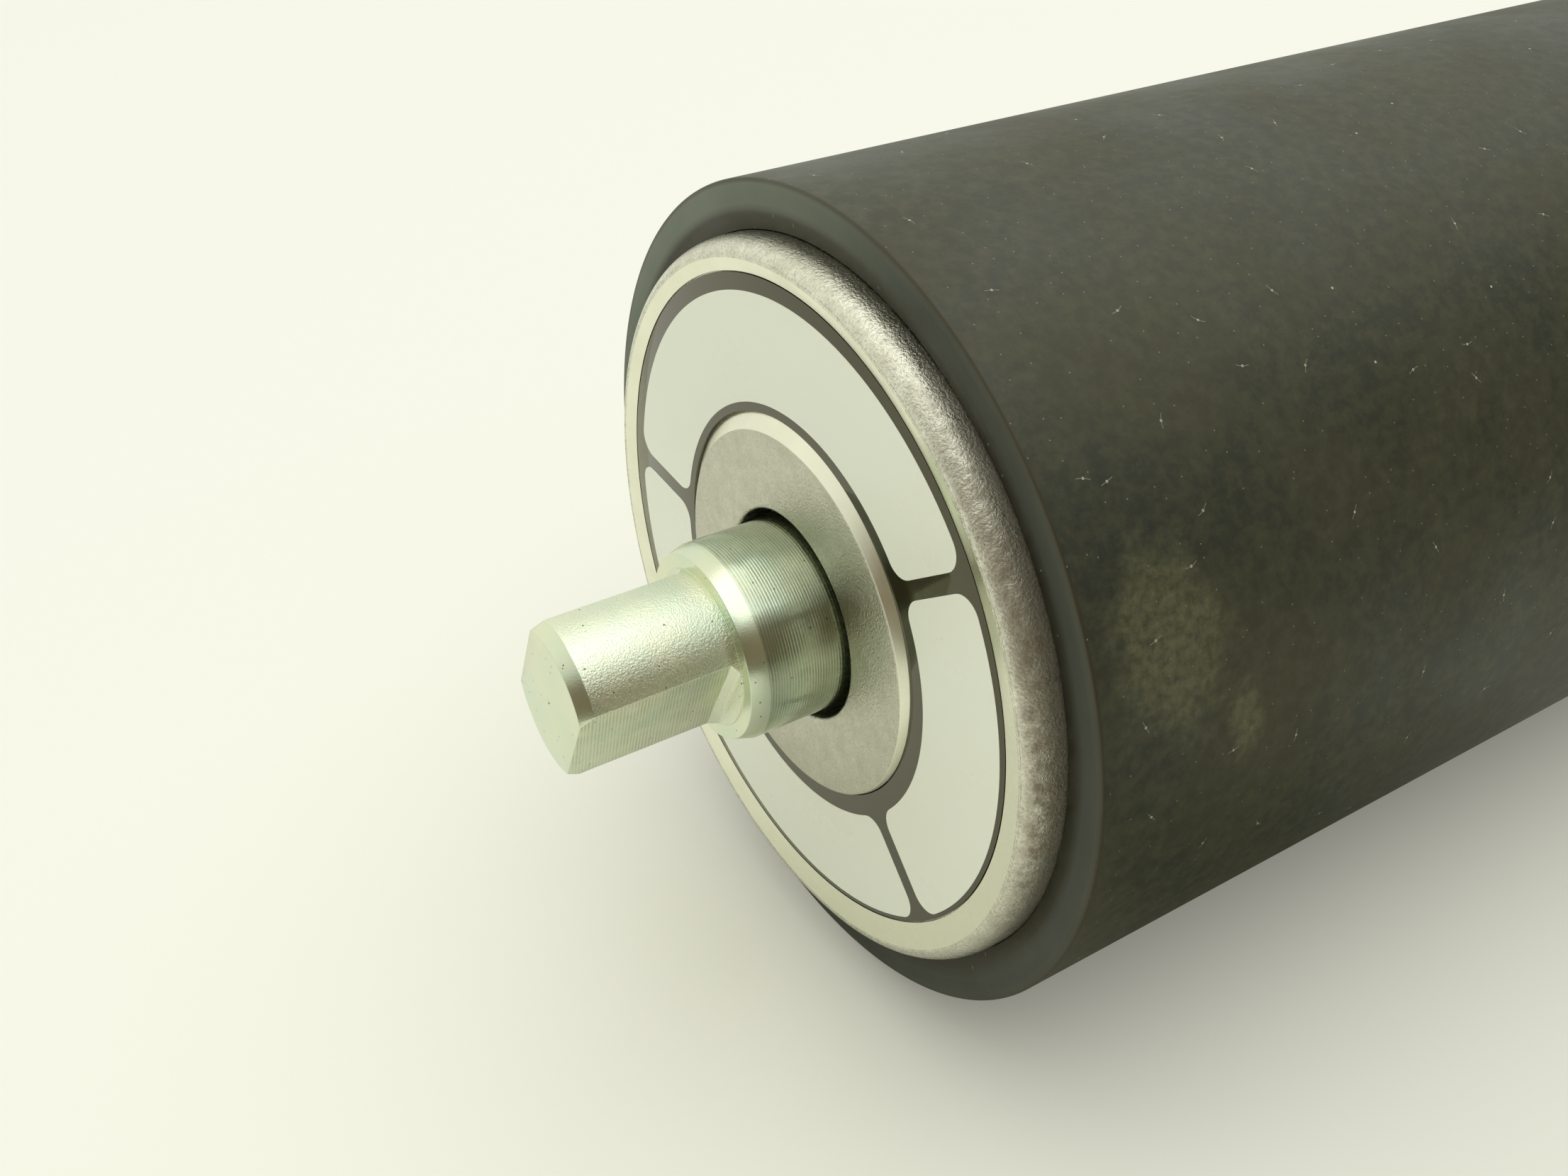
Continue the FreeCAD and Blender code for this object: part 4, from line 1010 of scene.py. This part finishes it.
# A painted table top gives the eye a warm white with hardly any gloss.
table = new_material("pale_table_top", Roughness=0.6, Specular_IOR_Level=0.2)
place = add(table, COORDINATES, out="Object")
spot = add(table, SEPARATE, {0: place}, ALL)
rays = add(table, LIGHT_PATH, out=ALL)
beside, ending, front, edge = [
    add(table, MAP_RANGE, {VALUE: spot[axis], **between(start, end)})
    for axis, start, end in SHADES]
strip = add(table, MATH, {0: beside, 1: ending}, operation="MULTIPLY")
corner = add(table, MATH, {0: strip, 1: front}, operation="MULTIPLY")
darker = add(table, MATH, {0: corner, 1: edge}, operation="MAXIMUM")
shade = add(table, MATH, {0: darker, 1: rays["Is Glossy Ray"]}, operation="MULTIPLY")
top = add(table, MIX, {FACTOR: shade, COLOUR_A: colour("#f6f6ea"), COLOUR_B: colour("#7c7d6b")}, **RGBA)
feed_shader(table, Base_Color=top)
floor.data.materials.append(table)

# %% The table's glow
BACKDROP = "#f9faf2"

away = add(table, VECTOR_MATH, {0: place}, "Value", operation="LENGTH")
fade = add(table, MAP_RANGE, {VALUE: away, **between(550, 1300)})
along = add(table, MATH, {0: spot["X"]}, operation="ABSOLUTE")
past = add(table, MATH, {0: along, 1: SLEEVE_END * MM}, operation="SUBTRACT")
past_end = add(table, MATH, {0: past, 1: 0.0}, operation="MAXIMUM")
apart = add(table, COMBINE, {0: past_end, 1: spot["Y"]})
clear = add(table, VECTOR_MATH, {0: apart}, "Value", operation="LENGTH")
open_side = add(table, MAP_RANGE, {VALUE: clear, **between(10, 110), TO_LOW: 0.16, TO_HIGH: 0.44})
glowing = add(table, MATH, {0: fade, 1: open_side}, operation="MAXIMUM")
lit = add(table, MATH, {0: 1.0, 1: shade}, operation="SUBTRACT")
lifting = add(table, MATH, {0: glowing, 1: lit}, operation="MULTIPLY")
seen = add(table, MATH, {0: rays["Is Camera Ray"], 1: rays["Is Glossy Ray"]}, operation="MAXIMUM")
seen = add(table, MATH, {0: seen, 1: rays["Is Transmission Ray"]}, operation="MAXIMUM")
lift = add(table, MATH, {0: lifting, 1: seen}, operation="MULTIPLY")
glow = add(table, EMISSION, {"Color": colour(BACKDROP), "Strength": 1.0})
plain = table.node_tree.nodes["Principled BSDF"].outputs[0]
lifted = add(table, MIX_SHADER, {0: lift, 1: plain, 2: glow})
table.node_tree.links.new(lifted, table.node_tree.nodes["Material Output"].inputs["Surface"])
print("table:", len(table.node_tree.nodes), "nodes with its glow")

# %% The lamp
LAMP_SIZE = (1.7, 1.35)
LAMP_WATTS = 7.0
LAMP_AT = Vector((0.0, -0.1, 1.25))
LAMP_AIM = Vector((-0.05, 0, 0))

lamp_data = bpy.data.lights.new("soft_lamp", "AREA")
lamp_data.shape = "RECTANGLE"
lamp_data.size, lamp_data.size_y = LAMP_SIZE
lamp_data.energy = LAMP_WATTS
lamp = bpy.data.objects.new("soft_lamp", lamp_data)
bpy.context.scene.collection.objects.link(lamp)
lamp.location = LAMP_AT
lamp.rotation_mode = "QUATERNION"
lamp.rotation_quaternion = (LAMP_AIM - LAMP_AT).to_track_quat("-Z", "Y")
print("lamp of", LAMP_SIZE, "m,", LAMP_AT.z, "m above the roller's axis")

# %% The sky
BRIGHT_SIDE = Vector((-0.2, 0.75, 0.62)).normalized()

world = bpy.data.worlds.new("studio")
bpy.context.scene.world = world
world.use_nodes = True
heading = add(world, COORDINATES, out="Generated")
toward = add(world, VECTOR_MATH, {0: heading, 1: BRIGHT_SIDE}, "Value", operation="DOT_PRODUCT")
level = add(world, MAP_RANGE, {VALUE: toward, LOW: -0.8, HIGH: 0.85, TO_LOW: 0.28, TO_HIGH: 1.03})
sky = add(world, BACKGROUND, {"Color": colour("#fdfef2"), "Strength": level})
way = add(world, SEPARATE, {0: heading}, ALL)
near_side = add(world, MAP_RANGE, {VALUE: way["Y"], LOW: 0.1, HIGH: -0.4})
under_edge = add(world, MAP_RANGE, {VALUE: way["Z"], LOW: 0.72, HIGH: 0.57})
behind = add(world, MATH, {0: near_side, 1: under_edge}, operation="MULTIPLY")
room = add(world, BACKGROUND, {"Color": colour("#80745f"), "Strength": 0.95})
around = add(world, MIX_SHADER, {0: behind, 1: sky, 2: room})
backdrop = add(world, BACKGROUND, {"Color": colour(BACKDROP), "Strength": 1.0})
by_camera = add(world, LIGHT_PATH, out="Is Camera Ray")
shown = add(world, MIX_SHADER, {0: by_camera, 1: around, 2: backdrop})
world.node_tree.links.new(shown, world.node_tree.nodes["World Output"].inputs["Surface"])
bpy.context.scene.view_settings.view_transform = "Standard"
print("sky:", len(world.node_tree.nodes), "nodes")
